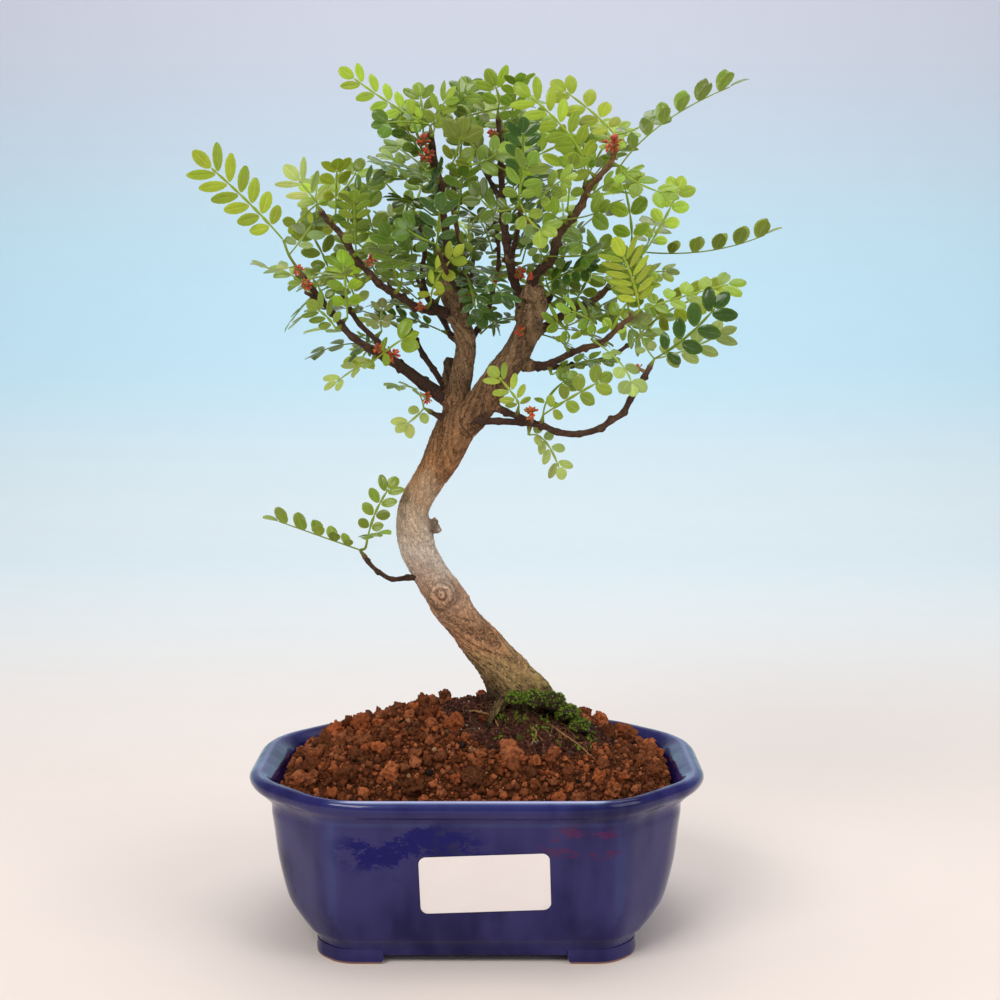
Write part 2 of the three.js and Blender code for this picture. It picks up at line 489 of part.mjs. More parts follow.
// Foliage. A frond is a feather-shaped leaf: a rib with pairs of leaflets and one at its tip. Its row:
// [start, middle, tip, face, fold, pairs, leaflet, tone]. start counts along the spray's shoot; middle
// and tip are points of the rib in the front view; face turns the blade from level (0) to the front (90);
// fold raises the leaflets out of the blade's plane; tone is the leaf's colour group.
const sprays = [
  { on: 'low_left', at: 11, shoot: [[-66.5, 247, -20], [-69, 251, -21], [-71, 256.5, -22]], fronds: [
    [3, [-83, 269.5, -26], [-97, 282.5, -30], 75, 0, 6, 10.3, 'fresh'],
    [1, [-72.5, 246, -22], [-78, 246.5, -24], 12, 10, 2, 6.5, 'pale'],
    [2, [-63, 257, -14], [-58, 263, -9], 60, 0, 3, 7.5, 'mist']] },
  { on: 'low_left', at: 7, fronds: [[0, [-54.5, 227.5, -20], [-58.5, 231, -22], 85, 0, 3, 6.6, 'leaf']] },
  { on: 'low_left', at: 4.5, fronds: [
    [0, [-43, 210.5, -14], [-52, 204.5, -17], 25, 10, 3, 6.8, 'pale'],
    [0, [-31, 217, -18], [-26, 220, -20], 55, 0, 2, 8.2, 'bright']] },
  { on: 'mid_left', at: 1.2, fronds: [[0, [-36.4, 226, -5], [-36.6, 231.5, -4], -60, 0, 3, 4.8, 'mist'],
    [0, [-45, 216.5, -2], [-49, 214.5, 0], 60, 0, 2, 6.4, 'dark']] },
  { on: 'mid_left', at: 3, fronds: [[0, [-45, 236, -1], [-48.5, 244, 0], 75, 0, 3, 7.6, 'pale']] },
  { on: 'mid_left', at: 6, fronds: [
    [0, [-56, 250, 3], [-60.5, 258.5, 1], 70, 0, 3, 8, 'leaf'],
    [0, [-58, 243, 8], [-64, 242, 13], 40, 0, 2, 7.4, 'leaf'],
    [0, [-48, 249, 11], [-46, 256, 17], 60, 0, 3, 7.6, 'leaf']] },
  { on: 'low_left_spur', at: 2, fronds: [
    [0, [-22, 192, -9], [-26, 188.8, -11], 50, 0, 2, 6.4, 'pale'],
    [0, [-24, 201.5, -10], [-33, 203, -13], 15, 0, 3, 5.6, 'mist']] },
  { on: 'high_left', at: 12, fronds: [
    [0, [-60, 272, -14], [-65, 278, -16], 80, 0, 3, 9, 'milk'],
    [0, [-61, 261.5, -7], [-62.5, 255.5, -4], 75, 0, 2, 8, 'fresh'],
    [0, [-50, 273.5, -8], [-44, 281, -5], 45, 0, 4, 7.2, 'leaf']] },
  { on: 'high_left', at: 9.6, fronds: [
    [0, [-46, 268.5, -15], [-38, 278, -16], 35, 10, 5, 7.6, 'dark']] },
  { on: 'high_left', at: 4.6, fronds: [
    [0, [-28, 248, -18], [-32, 257.5, -22], 82, 0, 4, 7.6, 'dark'],
    [0, [-36, 255, -1], [-41, 270.5, 3], 70, 0, 4, 7.6, 'olive']] },
  { on: 'high_left', at: 2.4, fronds: [
    [0, [-17.5, 241, -14], [-12.5, 250.5, -20], 50, 0, 4, 7, 'fresh']] },
  { on: 'left_twig', at: 7, fronds: [
    [0, [-28, 271.5, 24], [-33.5, 277.5, 25], 70, 0, 2, 7.6, 'olive'],
    [0, [-24.5, 271, 15], [-26, 264, 9], 10, 0, 3, 6.6, 'dark'],
    [0, [-21, 273, 31], [-19, 280, 38], 50, 0, 3, 8, 'leaf']] },
  { on: 'left_leader', at: 7, fronds: [
    [0, [-28, 303.5, -6], [-44.5, 314.5, -9], 60, 0, 6, 7.6, 'fresh'],
    [0, [-26, 299, -13], [-33, 298.5, -17], 60, 0, 2, 6.6, 'dark'],
    [0, [-10, 302.5, -5], [-4, 308.5, -7], 55, 0, 3, 7.6, 'gloss']] },
  { on: 'left_leader', at: 4.75, fronds: [
    [0, [-27.5, 281, -9], [-41, 283, -13], 35, 0, 4, 7.4, 'dark'],
    [0, [-22, 285, 8], [-29, 290, 15], 40, 0, 3, 7.6, 'leaf']] },
  { on: 'left_leader', at: 4.2, fronds: [
    [0, [-18.5, 278, -9], [-23.5, 279.5, -13], 80, 0, 2, 7.2, 'deep']] },
  { on: 'front_twig', at: 4, fronds: [
    [0, [-14, 260, -32], [-13.5, 267, -34], 82, 0, 3, 8.4, 'deep'],
    [0, [-20, 257, -30], [-25, 260, -31], 60, 0, 2, 7.4, 'dark']] },
  { on: 'inner_twig', at: 7, fronds: [
    [0, [-7.5, 287, -12], [-5.5, 294, -15], 80, 0, 2, 8.6, 'olive'],
    [0, [-3, 284.5, -14], [3.5, 289, -19], 60, 0, 3, 8, 'leaf']] },
  { on: 'leader', at: 9, shoot: [[8, 303.8, 4]], fronds: [
    [1, [8.2, 307.5, 3], [7, 311.5, 2], 82, 0, 2, 8.8, 'bright'],
    [1, [0, 302, 1], [-9, 299.5, -1], 50, 0, 3, 8, 'leaf'],
    [1, [13, 305, 13], [19, 307, 21], 40, 0, 3, 8, 'leaf']] },
  { on: 'top_right', at: 12, fronds: [
    [0, [44, 301, -5], [32.5, 309.8, -1], 65, 0, 4, 8.4, 'fresh'],
    [0, [57, 296, -4], [64.5, 299.8, -1], 30, 0, 2, 8, 'gloss']] },
  { on: 'top_right', at: 10, fronds: [
    [0, [68, 299, -17], [92, 312.3, -22], 15, 50, 6, 9, 'leaf'],
    [0, [57, 278.3, -17], [68, 273.5, -22], 45, 0, 3, 8, 'bright']] },
  { on: 'top_right', at: 8.9, fronds: [
    [0, [34.5, 295, -15], [21, 308.8, -18], 78, 0, 6, 9.4, 'fresh'],
    [0, [32, 279.7, -1], [21, 277, 4], 5, 15, 4, 6.4, 'gloss']] },
  { on: 'top_right', at: 5.6, fronds: [
    [0, [30, 264, -14], [27.5, 267, -17], 60, 0, 1, 8, 'bright'],
    [0, [40, 265, -14], [45, 267, -17], 70, 0, 1, 8, 'leaf']] },
  { on: 'high_right', at: 6, shoot: [[56, 247.5, 15], [62, 252, 13]], fronds: [
    [1, [57, 260, 8], [54, 277, 4], 82, 0, 4, 8.2, 'bright'],
    [2, [85, 252.5, 4], [106, 258.3, -2], 8, 58, 5, 8.2, 'leaf'],
    [2, [69, 264, 16], [74, 274.5, 18], 82, 0, 4, 7, 'lime'],
    [0, [46, 251.5, 7], [37.5, 256, 2], 50, 0, 3, 9, 'gloss'],
    [2, [64, 258, 24], [66, 262, 33], 45, 0, 3, 8.4, 'gloss']] },
  { on: 'mid_right', at: 8, fronds: [
    [0, [58, 240.5, -32], [54, 250.5, -35], 86, 0, 6, 9.4, 'fresh'],
    [0, [75, 235.5, -24], [93, 240.3, -20], 40, 0, 5, 8, 'bright']] },
  { on: 'mid_right_back', at: 6, fronds: [
    [0, [71, 230.5, 14], [88, 237, 6], 60, 0, 5, 8.4, 'fresh'],
    [0, [62, 222, 36], [67, 229, 43], 50, 0, 3, 8, 'leaf']] },
  { on: 'low_right', at: 13, fronds: [
    [0, [77, 220.5, -34], [88, 231.5, -37], 70, 0, 4, 9, 'deep'],
    [0, [77, 216, -24], [90, 221.8, -21], 45, 0, 4, 8.2, 'pale'],
    [0, [64.5, 219, -22], [64.5, 227, -18], 60, 0, 2, 5.4, 'mist']] },
  { on: 'low_right_fork', at: 1.8, fronds: [
    [0, [17, 199, -15], [13, 207, -18], 80, 0, 4, 6.6, 'lime']] },
  { on: 'low_right', at: 4, fronds: [
    [0, [34, 198, -24], [45.5, 204.5, -29], 80, 0, 4, 6.6, 'leaf'],
    [0, [27, 199, -4], [33, 205, 0], 60, 0, 2, 6.4, 'leaf']] },
  { on: 'low_right', at: 3.4, fronds: [
    [0, [25.5, 183, -16], [32, 173.5, -19], 55, 0, 4, 6.2, 'pale']] },
  { on: 'trunk_twig', at: 5, shoot: [[-42, 142, -12], [-41, 146, -12]], fronds: [
    [0, [-57, 146, -17], [-74.5, 152.3, -21], 10, 52, 5, 7, 'leaf'],
    [2, [-38, 155.5, -10], [-33, 164.5, -8], 55, 10, 4, 6.6, 'leaf'],
    [2, [-38, 147.5, -17], [-34.5, 147.5, -22], 30, 0, 2, 6.2, 'leaf']] },
  { on: 'mid_right', at: 5, fronds: [
    [0, [43, 226, -30], [35, 230.5, -35], 50, 0, 4, 7.8, 'bright'],
    [0, [54, 212, -25], [60, 204, -27], 20, 0, 3, 6.2, 'pale']] },
  { on: 'mid_right', at: 3, fronds: [
    [0, [34, 222, -23], [29, 226.5, -28], 50, 0, 3, 7.6, 'bright']] },
  { on: 'high_right', at: 3, fronds: [
    [0, [41, 242.5, 3], [46, 253, -1], 80, 0, 4, 8, 'olive'],
    [0, [29, 236, 10], [25.5, 243, 14], 50, 0, 3, 8.4, 'leaf']] },
  { on: 'top_right', at: 2.7, fronds: [
    [0, [23, 253, -13], [19.5, 259, -17], 60, 0, 3, 7.2, 'mist'],
    [0, [34, 250.5, -14], [41, 251, -19], 50, 0, 2, 8, 'dark']] },
  { on: 'leader_front', at: 3, fronds: [
    [0, [20, 263, -30], [24, 260, -32], 60, 0, 2, 8, 'leaf'],
    [0, [16, 275, -33], [19, 283, -37], 65, 0, 3, 8, 'leaf'],
    [0, [8, 267, -31], [1, 272, -34], 60, 0, 3, 7.6, 'dark']] },
  { on: 'leader', at: 7, fronds: [
    [0, [19, 286, -2], [30, 292, -6], 80, 0, 4, 8.6, 'fresh'],
    [0, [1, 284.5, 6], [-6, 290, 8], 60, 0, 3, 8, 'leaf']] },
  { on: 'leader', at: 8.2, fronds: [
    [0, [15.5, 296, 4], [23, 300.5, 5], 65, 0, 3, 8, 'leaf']] },
];

// Spur sprays that fill the crown on the sides the front view hides: branch, place along it, fronds
const fillers = [
  ['back_left', 5, 3], ['high_back_left', 8, 3], ['rear_left', 5, 3], ['rear_middle', 4, 3], ['rear_right', 5, 3],
  ['leader_back', 3, 3], ['top_right_back', 3, 3], ['middle_twig', 6, 2], ['high_back_left', 5, 2],
];

const TWIST = [0, 9, -9, 18, -18, 27, -27, 36, -36, 45, -45];
const LIFTS = [0, 8, -8, 16, -16, 24];
const SHRINKS = [1, 0.82, 0.68];
// Pairs of leaflets modelled for each counted number of pairs
const PAIRS_KEPT = [0, 1, 2, 2, 2, 3, 4];
const RIB = 0.6;
const LEAF_RISE = 0.8;
const MARGIN = 1.15;

// The rib of a frond bends evenly from its root through the middle point to the tip
function layFrond(row, root, middle, tip, grow) {
  const [, , , face, fold, counted, leaflet, tone] = row;
  const pairs = PAIRS_KEPT[counted];
  const bend = sub(mul(middle, 2), mul(add(root, tip), 0.5));
  const at = (t) => add(add(mul(root, (1 - t) ** 2), mul(bend, 2 * t * (1 - t))), mul(tip, t * t));
  const slope = (t) => unit(add(mul(sub(bend, root), 1 - t), mul(sub(tip, bend), t)));
  const up = [0, -Math.sin(radians(face)), Math.cos(radians(face))];
  const frame = (t) => {
    const along = slope(t);
    const level = across(up, along);
    const normal = unit(size(level) > 0.2 ? level : across([0.3, -1, 0], along));
    return { point: at(t), along, normal, side: cross(along, normal) };
  };
  const reach = size(sub(at(0.5), root)) + size(sub(tip, at(0.5)));
  const first = counted > 3 ? 0.2 : 0.3;
  const last = 0.93;
  const stations = [];
  for (let i = 0; i < pairs; i += 1) {
    stations.push(pairs > 1 ? first + ((last - first) * i) / (pairs - 1) : 0.72);
  }
  const spacing = pairs > 1 ? (reach * (last - first)) / (pairs - 1) : 9;
  const full = leaflet * grow;
  const plump = 1.25 - 0.065 * leaflet;
  const leaflets = [];
  stations.forEach((t, i) => {
    const f = pairs > 1 ? i / (pairs - 1) : 1;
    const { point, along, normal, side } = frame(t);
    const lean = radians(66 - 18 * f);
    const length = full * (0.7 + 0.3 * f * (2 - f));
    const width = Math.min(plump * length, 0.9 * spacing * Math.sin(lean));
    for (const hand of [-1, 1]) {
      const out = add(mul(side, hand * Math.cos(radians(fold))), mul(normal, Math.sin(radians(fold))));
      const axis = add(mul(along, Math.cos(lean)), mul(out, Math.sin(lean)));
      const flat = unit(cross(along, out));
      const upper = mul(flat, -hand);
      const base = add(point, mul(side, hand * RIB));
      const across = cross(upper, axis);
      leaflets.push({ station: i, hand, base, axis, normal: upper, across, length, width });
    }
  });
  const end = frame(1);
  leaflets.push({
    station: pairs,
    hand: 0,
    base: end.point,
    axis: end.along,
    normal: end.normal,
    across: mul(end.side, -1),
    length: full,
    width: Math.min(plump * full, 6.2),
  });
  for (const leaf of leaflets) {
    leaf.centre = add(leaf.base, mul(leaf.axis, 0.52 * leaf.length));
    leaf.corners = [leaf.base, blade(leaf, 0.6, -0.5), blade(leaf, 1, 0), blade(leaf, 0.6, 0.5)];
  }
  const marks = [0, 0.14, ...stations, 1];
  const ribs = [];
  for (let i = 1; i + 1 < marks.length; i += 1) {
    ribs.push({ from: at(marks[i]), to: at(marks[i + 1]), radius: 0.7 });
  }
  const hub = at(0.6);
  const span = Math.max(...leaflets.map((leaf) => size(sub(leaf.corners[2], hub))), size(sub(root, hub)));
  return { tone, root, frame, stations, leaflets, ribs, hub, span, counted };
}

// A point of a leaflet's blade, as shares of its length and width
function blade(leaf, u, v) {
  return add(leaf.base, add(mul(leaf.axis, u * leaf.length), mul(leaf.across, v * leaf.width)));
}

// True where a point lies within a leaflet's oval, made wider by grow and thicker by thick
function within(leaf, point, grow, thick) {
  const offset = sub(point, leaf.centre);
  if (Math.abs(dot(offset, leaf.normal)) > thick) {
    return false;
  }
  const u = dot(offset, leaf.axis) / (0.5 * leaf.length + grow);
  const v = dot(offset, leaf.across) / (0.5 * leaf.width + grow);
  return u * u + v * v < 1;
}

// True where a straight stretch comes near a leaflet or passes through it
function strikes(leaf, from, to, grow, thick) {
  if (within(leaf, from, grow, thick) || within(leaf, to, grow, thick)) {
    return true;
  }
  const a = dot(sub(from, leaf.centre), leaf.normal);
  const b = dot(sub(to, leaf.centre), leaf.normal);
  if (a * b >= 0) {
    return false;
  }
  return within(leaf, add(from, mul(sub(to, from), a / (a - b))), grow, thick);
}

function leavesTouch(one, two) {
  const limit = 0.5 * (one.length + two.length) + 1.5;
  if (size(sub(one.centre, two.centre)) > limit) {
    return false;
  }
  for (const [a, b] of [[one, two], [two, one]]) {
    const [base, low, tip, high] = a.corners;
    for (const [from, to] of [[base, low], [low, tip], [tip, high], [high, base], [base, tip], [low, high]]) {
      if (strikes(b, from, to, 0.4, MARGIN)) {
        return true;
      }
    }
  }
  return false;
}

function boneTouches(leaf, bone) {
  const way = sub(bone.to, bone.from);
  const steps = Math.ceil(size(way) / 1.5) + 1;
  for (let i = 0; i <= steps; i += 1) {
    if (within(leaf, add(bone.from, mul(way, i / steps)), bone.radius + 0.4, bone.radius + 0.9)) {
      return true;
    }
  }
  return false;
}

// Shortest distance between two straight stretches, stepped along the first
function boneGap(one, two) {
  const way = sub(one.to, one.from);
  const other = sub(two.to, two.from);
  const steps = Math.ceil(size(way)) + 1;
  let least = 1e9;
  for (let i = 0; i <= steps; i += 1) {
    const point = add(one.from, mul(way, i / steps));
    const k = Math.min(1, Math.max(0, dot(sub(point, two.from), other) / Math.max(dot(other, other), 1e-9)));
    least = Math.min(least, size(sub(point, add(two.from, mul(other, k)))));
  }
  return least - one.radius - two.radius;
}

function boneBall(bone) {
  return { hub: mul(add(bone.from, bone.to), 0.5), span: size(sub(bone.to, bone.from)) / 2 + bone.radius };
}

// Whether a frond keeps clear of fronds already grown and of bare wood and shoots
function isClear(frond, grown, bones, bunch) {
  for (const bone of bones) {
    const ball = boneBall(bone);
    if (size(sub(ball.hub, frond.hub)) < ball.span + frond.span + 2) {
      if (frond.leaflets.some((leaf) => boneTouches(leaf, bone))) {
        return false;
      }
      if (bone.bunch !== bunch && frond.ribs.some((rib) => boneGap(rib, bone) < 0.5)) {
        return false;
      }
    }
  }
  for (const other of grown) {
    if (size(sub(other.hub, frond.hub)) < other.span + frond.span + 2) {
      if (frond.leaflets.some((leaf) => other.leaflets.some((rival) => leavesTouch(leaf, rival)))) {
        return false;
      }
      if (frond.leaflets.some((leaf) => other.ribs.some((rib) => boneTouches(leaf, rib)))) {
        return false;
      }
      if (other.leaflets.some((leaf) => frond.ribs.some((rib) => boneTouches(leaf, rib)))) {
        return false;
      }
      const ribsMeet = frond.ribs.some((rib) => other.ribs.some((rival) => boneGap(rib, rival) < 0.5));
      if (other.bunch !== bunch && ribsMeet) {
        return false;
      }
    }
  }
  return true;
}

// Where a spray leaves its branch: the place, the way out and the branch's radius
function perch(name, place) {
  const { line, girth } = branches[name];
  const k = Math.min(Math.floor(place), line.length - 2);
  const share = place - k;
  const point = add(line[k], mul(sub(line[k + 1], line[k]), share));
  return {
    point,
    along: unit(sub(line[k + 1], line[k])),
    radius: girth[k] + (girth[k + 1] - girth[k]) * share,
    atEnd: place === line.length - 1,
  };
}

const SPUR = 2.4;
const SHOOT_RADIUS = 0.75;

function startSpray(name, place, towards, shootPoints) {
  const { point, along, radius, atEnd } = perch(name, place);
  const out = atEnd ? along : unit(across(sub(towards, point), along));
  const seat = add(point, mul(out, atEnd ? GAP : radius + GAP));
  return { seat, out, joints: [add(seat, mul(out, SPUR)), ...shootPoints] };
}

// Tries the frond as read, then swung and lifted about its root, then smaller, until it is clear
function growFrond(row, root, grown, bones, bunch) {
  const middle = sub(row[1], root);
  const tip = sub(row[2], root);
  const sideways = unit(cross(tip, [0, 0.001, 1]));
  for (const shrink of SHRINKS) {
    for (const lift of LIFTS) {
      for (const twist of TWIST) {
        const raise = (v) => turned(mul(v, shrink), sideways, radians(lift));
        const swing = (v) => turned(raise(v), [0, 0, 1], radians(twist));
        const frond = layFrond(row, root, add(root, swing(middle)), add(root, swing(tip)), shrink);
        if (isClear(frond, grown, bones, bunch)) {
          return { ...frond, bunch, start: row[0] };
        }
      }
    }
  }
  return null;
}

// Flower buds in small red clusters: branch, place along it, way out in the front view, radius
const flowers = [
  ['top_right', 11.85, [48, 296, -22], 3.4], ['left_leader', 5.6, [-20.5, 288, -8], 2.8],
  ['left_leader', 6.4, [-20.5, 293, -6], 2.4], ['low_left', 10.6, [-65, 240, -30], 2.2],
  ['low_left', 3.9, [-31, 216, -16], 2.6], ['low_right', 3.55, [19, 194, -16], 2.8],
  ['leader', 2, [18, 245, -5], 2.2], ['high_left', 7.6, [-40, 252, -15], 2.4],
  ['middle_twig', 3.4, [6, 241, 10], 2.2],
];

function growFoliage() {
  const bones = [];
  trunkRows.slice(1).forEach((row, k) => {
    bones.push({ from: spot(trunkRows[k]), to: spot(row), radius: Math.max(row[3], trunkRows[k][3]) });
  });
  for (const { line, girth } of Object.values(branches)) {
    for (let k = 0; k + 1 < line.length; k += 1) {
      bones.push({ from: line[k], to: line[k + 1], radius: girth[k] });
    }
  }
  const blooms = flowers.map(([name, place, towards, radius]) => {
    const { seat, out } = startSpray(name, place, spot(towards), []);
    const centre = add(seat, mul(out, radius));
    bones.push({ from: centre, to: centre, radius: radius + 0.5, bunch: `bloom_${name}_${place}` });
    return { seat, out, centre, radius };
  });
  const plan = sprays.map((spray) => {
    const rows = spray.fronds.map((row) => [row[0], spot(row[1]), spot(row[2]), ...row.slice(3)]);
    const shootPoints = (spray.shoot ?? []).map(spot);
    return { ...startSpray(spray.on, spray.at, shootPoints[0] ?? rows[0][1], shootPoints), rows };
  });
  const draw = dice(90210);
  const heart = [4, 5, 238];
  for (const [name, place, count] of fillers) {
    const { point, along } = perch(name, place);
    const outward = unit(add(unit(sub(point, heart)), mul(along, 0.4)));
    const spray = startSpray(name, place, add(point, outward), []);
    const rows = [];
    for (let i = 0; i < count; i += 1) {
      const fan = radians(-55 + (110 * (i + 0.5)) / count + 16 * (draw() - 0.5));
      const way = unit(add(turned(outward, [0, 0, 1], fan), [0, 0, 0.5 * draw() - 0.05]));
      const reach = 21 + 7 * draw();
      const tip = add(spray.joints[0], mul(way, reach));
      const middle = add(add(spray.joints[0], mul(way, 0.52 * reach)), [0, 0, 2.2]);
      const tone = ['leaf', 'bright', 'dark', 'fresh'][Math.floor(4 * draw())];
      rows.push([0, middle, tip, 35 - 70 * draw(), 0, 3, 7.4 + 1.2 * draw(), tone]);
    }
    plan.push({ ...spray, rows });
  }
  plan.forEach((spray, k) => {
    const line = [spray.seat, ...spray.joints];
    for (let i = 0; i + 1 < line.length; i += 1) {
      bones.push({ from: line[i], to: line[i + 1], radius: SHOOT_RADIUS, bunch: k });
    }
  });
  const grown = [];
  plan.forEach((spray, k) => {
    spray.fronds = [];
    for (const row of spray.rows) {
      const others = bones.filter((bone) => bone.bunch !== k);
      const frond = growFrond(row, spray.joints[row[0]], grown, others, k);
      if (frond) {
        grown.push(frond);
        spray.fronds.push(frond);
      }
    }
  });
  return { plan: plan.filter((spray) => spray.fronds.length > 0), blooms };
}

// Outline of a leaflet past its foot, blunt on the long fronds and plainer on the short ones
function leafRim({ counted }) {
  if (counted > 4) {
    return [[0.55, 0.5], [0.93, 0.3], [0.93, -0.3], [0.55, -0.5]];
  }
  return [[0.6, 0.5], [1, 0], [0.6, -0.5]];
}

// Frames up the stem points to the root of the rib, each halfway through its bend
function stemFrames(frond, stem) {
  const line = [...stem, frond.root];
  const ways = line.slice(1).map((point, k) => unit(sub(point, line[k])));
  const frames = [];
  let last = frond.frame(0);
  ways.push(last.along);
  for (let k = line.length - 1; k >= 0; k -= 1) {
    const along = unit(add(ways[Math.max(k - 1, 0)], ways[k]));
    const axis = cross(last.along, along);
    const angle = Math.atan2(size(axis), dot(last.along, along));
    const turn = (v) => (size(axis) > 1e-6 ? turned(v, unit(axis), angle) : v);
    last = { point: line[k], along, normal: turn(last.normal), side: turn(last.side) };
    frames.unshift(last);
  }
  return frames;
}

// One frond as a closed skin: a ridged rib, and leaflets ridged above and flat below, with thin edges
function frondSolid(frond, stem) {
  const vertices = [];
  const triangles = [];
  const put = (point) => vertices.push(point) - 1;
  const ribHalf = 0.5;
  const foot = 0.5;
  const hub = (at) => [1, -1].map((way) => put(add(at.point, mul(at.normal, way * ribHalf))));
  const edge = (at, hand) => put(add(at.point, mul(at.side, hand * RIB)));
  const upper = (hand, a, b, c) => triangles.push(hand < 0 ? [a, b, c] : [a, c, b]);
  const lower = (hand, a, b, c) => triangles.push(hand < 0 ? [a, c, b] : [a, b, c]);
  const leafSkin = (leaf, hand, low, high, centre, ridgePlace) => {
    const rim = [low, ...leafRim(frond).map(([u, v]) => put(blade(leaf, u, -v * hand))), high];
    const ridge = put(add(blade(leaf, ridgePlace, 0), mul(leaf.normal, LEAF_RISE)));
    const tip = rim[Math.floor(rim.length / 2)];
    rim.slice(1).forEach((next, k) => {
      upper(hand, ridge, next, rim[k]);
      if (next !== tip && rim[k] !== tip) {
        lower(hand, tip, next, rim[k]);
      }
    });
    upper(hand, ridge, low, centre[0]);
    upper(hand, ridge, centre[0], high);
    lower(hand, tip, low, centre[1]);
    lower(hand, tip, centre[1], high);
  };
  const frames = stemFrames(frond, stem);
  const root = put(sub(frames[0].point, mul(frames[0].along, stem.length ? 0 : RIB)));
  let centre = hub(frames[0]);
  let edges = [edge(frames[0], -1), edge(frames[0], 1)];
  for (const [n, hand] of [[0, -1], [1, 1]]) {
    upper(hand, centre[0], edges[n], root);
    lower(hand, centre[1], edges[n], root);
  }
  const stretch = (next, low) => {
    for (const [n, hand] of [[0, -1], [1, 1]]) {
      for (const [half, wall] of [[0, upper], [1, lower]]) {
        wall(hand, centre[half], low[n], edges[n]);
        wall(hand, centre[half], next[half], low[n]);
      }
    }
    centre = next;
  };
  for (const frame of frames.slice(1)) {
    const low = [edge(frame, -1), edge(frame, 1)];
    stretch(hub(frame), low);
    edges = low;
  }
  frond.stations.forEach((t, i) => {
    const here = frond.frame(t);
    const pair = frond.leaflets.filter((one) => one.station === i);
    const low = pair.map((leaf) => put(sub(leaf.base, mul(here.along, foot))));
    const high = pair.map((leaf) => put(add(leaf.base, mul(here.along, foot))));
    stretch(hub(here), low);
    pair.forEach((leaf, n) => leafSkin(leaf, leaf.hand, low[n], high[n], centre, 0.52));
    edges = high;
  });
  const last = frond.leaflets[frond.leaflets.length - 1];
  leafSkin(last, -1, edges[0], edges[1], centre, 0.45);
  return skin(vertices, triangles);
}

// The outermost frond carries the shoot as the foot of its rib; the others are rooted in it
function makeSpray({ seat, joints, fronds }) {
  const [main, ...others] = [...fronds].sort((one, two) => two.start - one.start);
  let solid = frondSolid(main, [seat, ...joints.slice(0, main.start)]);
  for (const frond of others) {
    solid = solid.add(frondSolid(frond, []));
  }
  return solid;
}

// Buds round a short stalk
function makeBloom({ seat, out, centre, radius }) {
  let solid = limb([seat, centre], [0.7, 0.6], 3);
  const side = unit(across([0.3, 0.2, 1], out));
  const bud = radius * 0.6;
  for (let i = 0; i < 4; i += 1) {
    const way = i ? unit(add(turned(side, out, (Math.PI * 2 * i) / 3), mul(out, 0.45))) : out;
    const geometry = new THREE.OctahedronGeometry(bud, 0);
    geometry.translate(...add(centre, mul(way, radius * 0.33)));
    solid = solid.add(toSolid(geometry));
  }
  return solid;
}

const foliage = growFoliage();
const soil = makeSoil();
place('pot', makePot(), finish.glaze);
place('label', makeLabel(), finish.paper);
place('soil', soil, finish.akadama);
place('trunk', makeWood(), finish.bark);
place('moss', makeMoss(soil), finish.moss);
foliage.plan.forEach((spray, i) => place(`leafy_spray_${i + 1}`, makeSpray(spray), finish.leaf));
foliage.blooms.forEach((bloom, i) => place(`flower_buds_${i + 1}`, makeBloom(bloom), finish.bud));

const extent = new THREE.Box3().setFromObject(model);
const shift = [-(extent.min.x + extent.max.x) / 2, -(extent.min.y + extent.max.y) / 2, -extent.min.z];
model.traverse((node) => {
  if (node.isMesh) {
    node.geometry.translate(...shift);
  }
});

export default model;
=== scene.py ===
"""A Japanese pepper bonsai in its blue glazed pot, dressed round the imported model.

Lengths are millimetres from the centre of the pot's underside until a piece is made; pieces are in metres."""

from functools import cache
from math import atan, atan2, ceil, cos, exp, floor, hypot, pi, radians, sin, sqrt
import bmesh
import bpy
import numpy as np
from bpy.props import FloatProperty, FloatVectorProperty, IntProperty, PointerProperty
from bpy.types import Operator, Panel, PropertyGroup
from mathutils import Euler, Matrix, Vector, noise


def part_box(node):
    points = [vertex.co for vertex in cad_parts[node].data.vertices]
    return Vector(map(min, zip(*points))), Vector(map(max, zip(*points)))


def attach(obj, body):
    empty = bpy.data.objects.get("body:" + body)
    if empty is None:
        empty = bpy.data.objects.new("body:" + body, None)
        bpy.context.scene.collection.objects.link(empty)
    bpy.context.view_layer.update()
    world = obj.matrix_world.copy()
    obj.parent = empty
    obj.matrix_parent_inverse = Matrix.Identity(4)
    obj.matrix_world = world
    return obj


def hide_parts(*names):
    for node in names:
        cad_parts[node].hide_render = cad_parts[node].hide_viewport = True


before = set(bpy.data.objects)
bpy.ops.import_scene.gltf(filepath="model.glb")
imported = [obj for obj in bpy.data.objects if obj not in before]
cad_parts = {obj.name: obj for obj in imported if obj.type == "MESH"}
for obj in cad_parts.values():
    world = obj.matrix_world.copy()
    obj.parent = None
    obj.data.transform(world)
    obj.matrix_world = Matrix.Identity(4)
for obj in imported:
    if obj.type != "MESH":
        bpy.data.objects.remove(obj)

bl_info = {
    "name": "Japanese Pepper Bonsai",
    "version": (1, 0, 0),
    "blender": (4, 5, 0),
    "location": "View3D > Sidebar > Bonsai",
    "description": "Builds a pot-grown Japanese pepper bonsai with its wood, fronds, soil and glazed pot",
    "category": "Add Mesh",
}

MILLIMETRE = 0.001
GAP = 0.35
EYE = (8.65, -595.0, 228.8)
CAMERA_PITCH = 6.57
CAMERA_LENS = 57.6
POT_LOW, POT_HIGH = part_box("pot")
SHIFT = np.array([(POT_LOW.x + POT_HIGH.x) / 2, (POT_LOW.y + POT_HIGH.y) / 2, 0.0]) / MILLIMETRE


def linear(red, green, blue):
    """A screen colour, 0 to 255 a channel, as the linear colour that shaders use."""
    return np.array([c / 12.92 if c <= 0.04045 else ((c + 0.055) / 1.055) ** 2.4
                     for c in (red / 255, green / 255, blue / 255)])


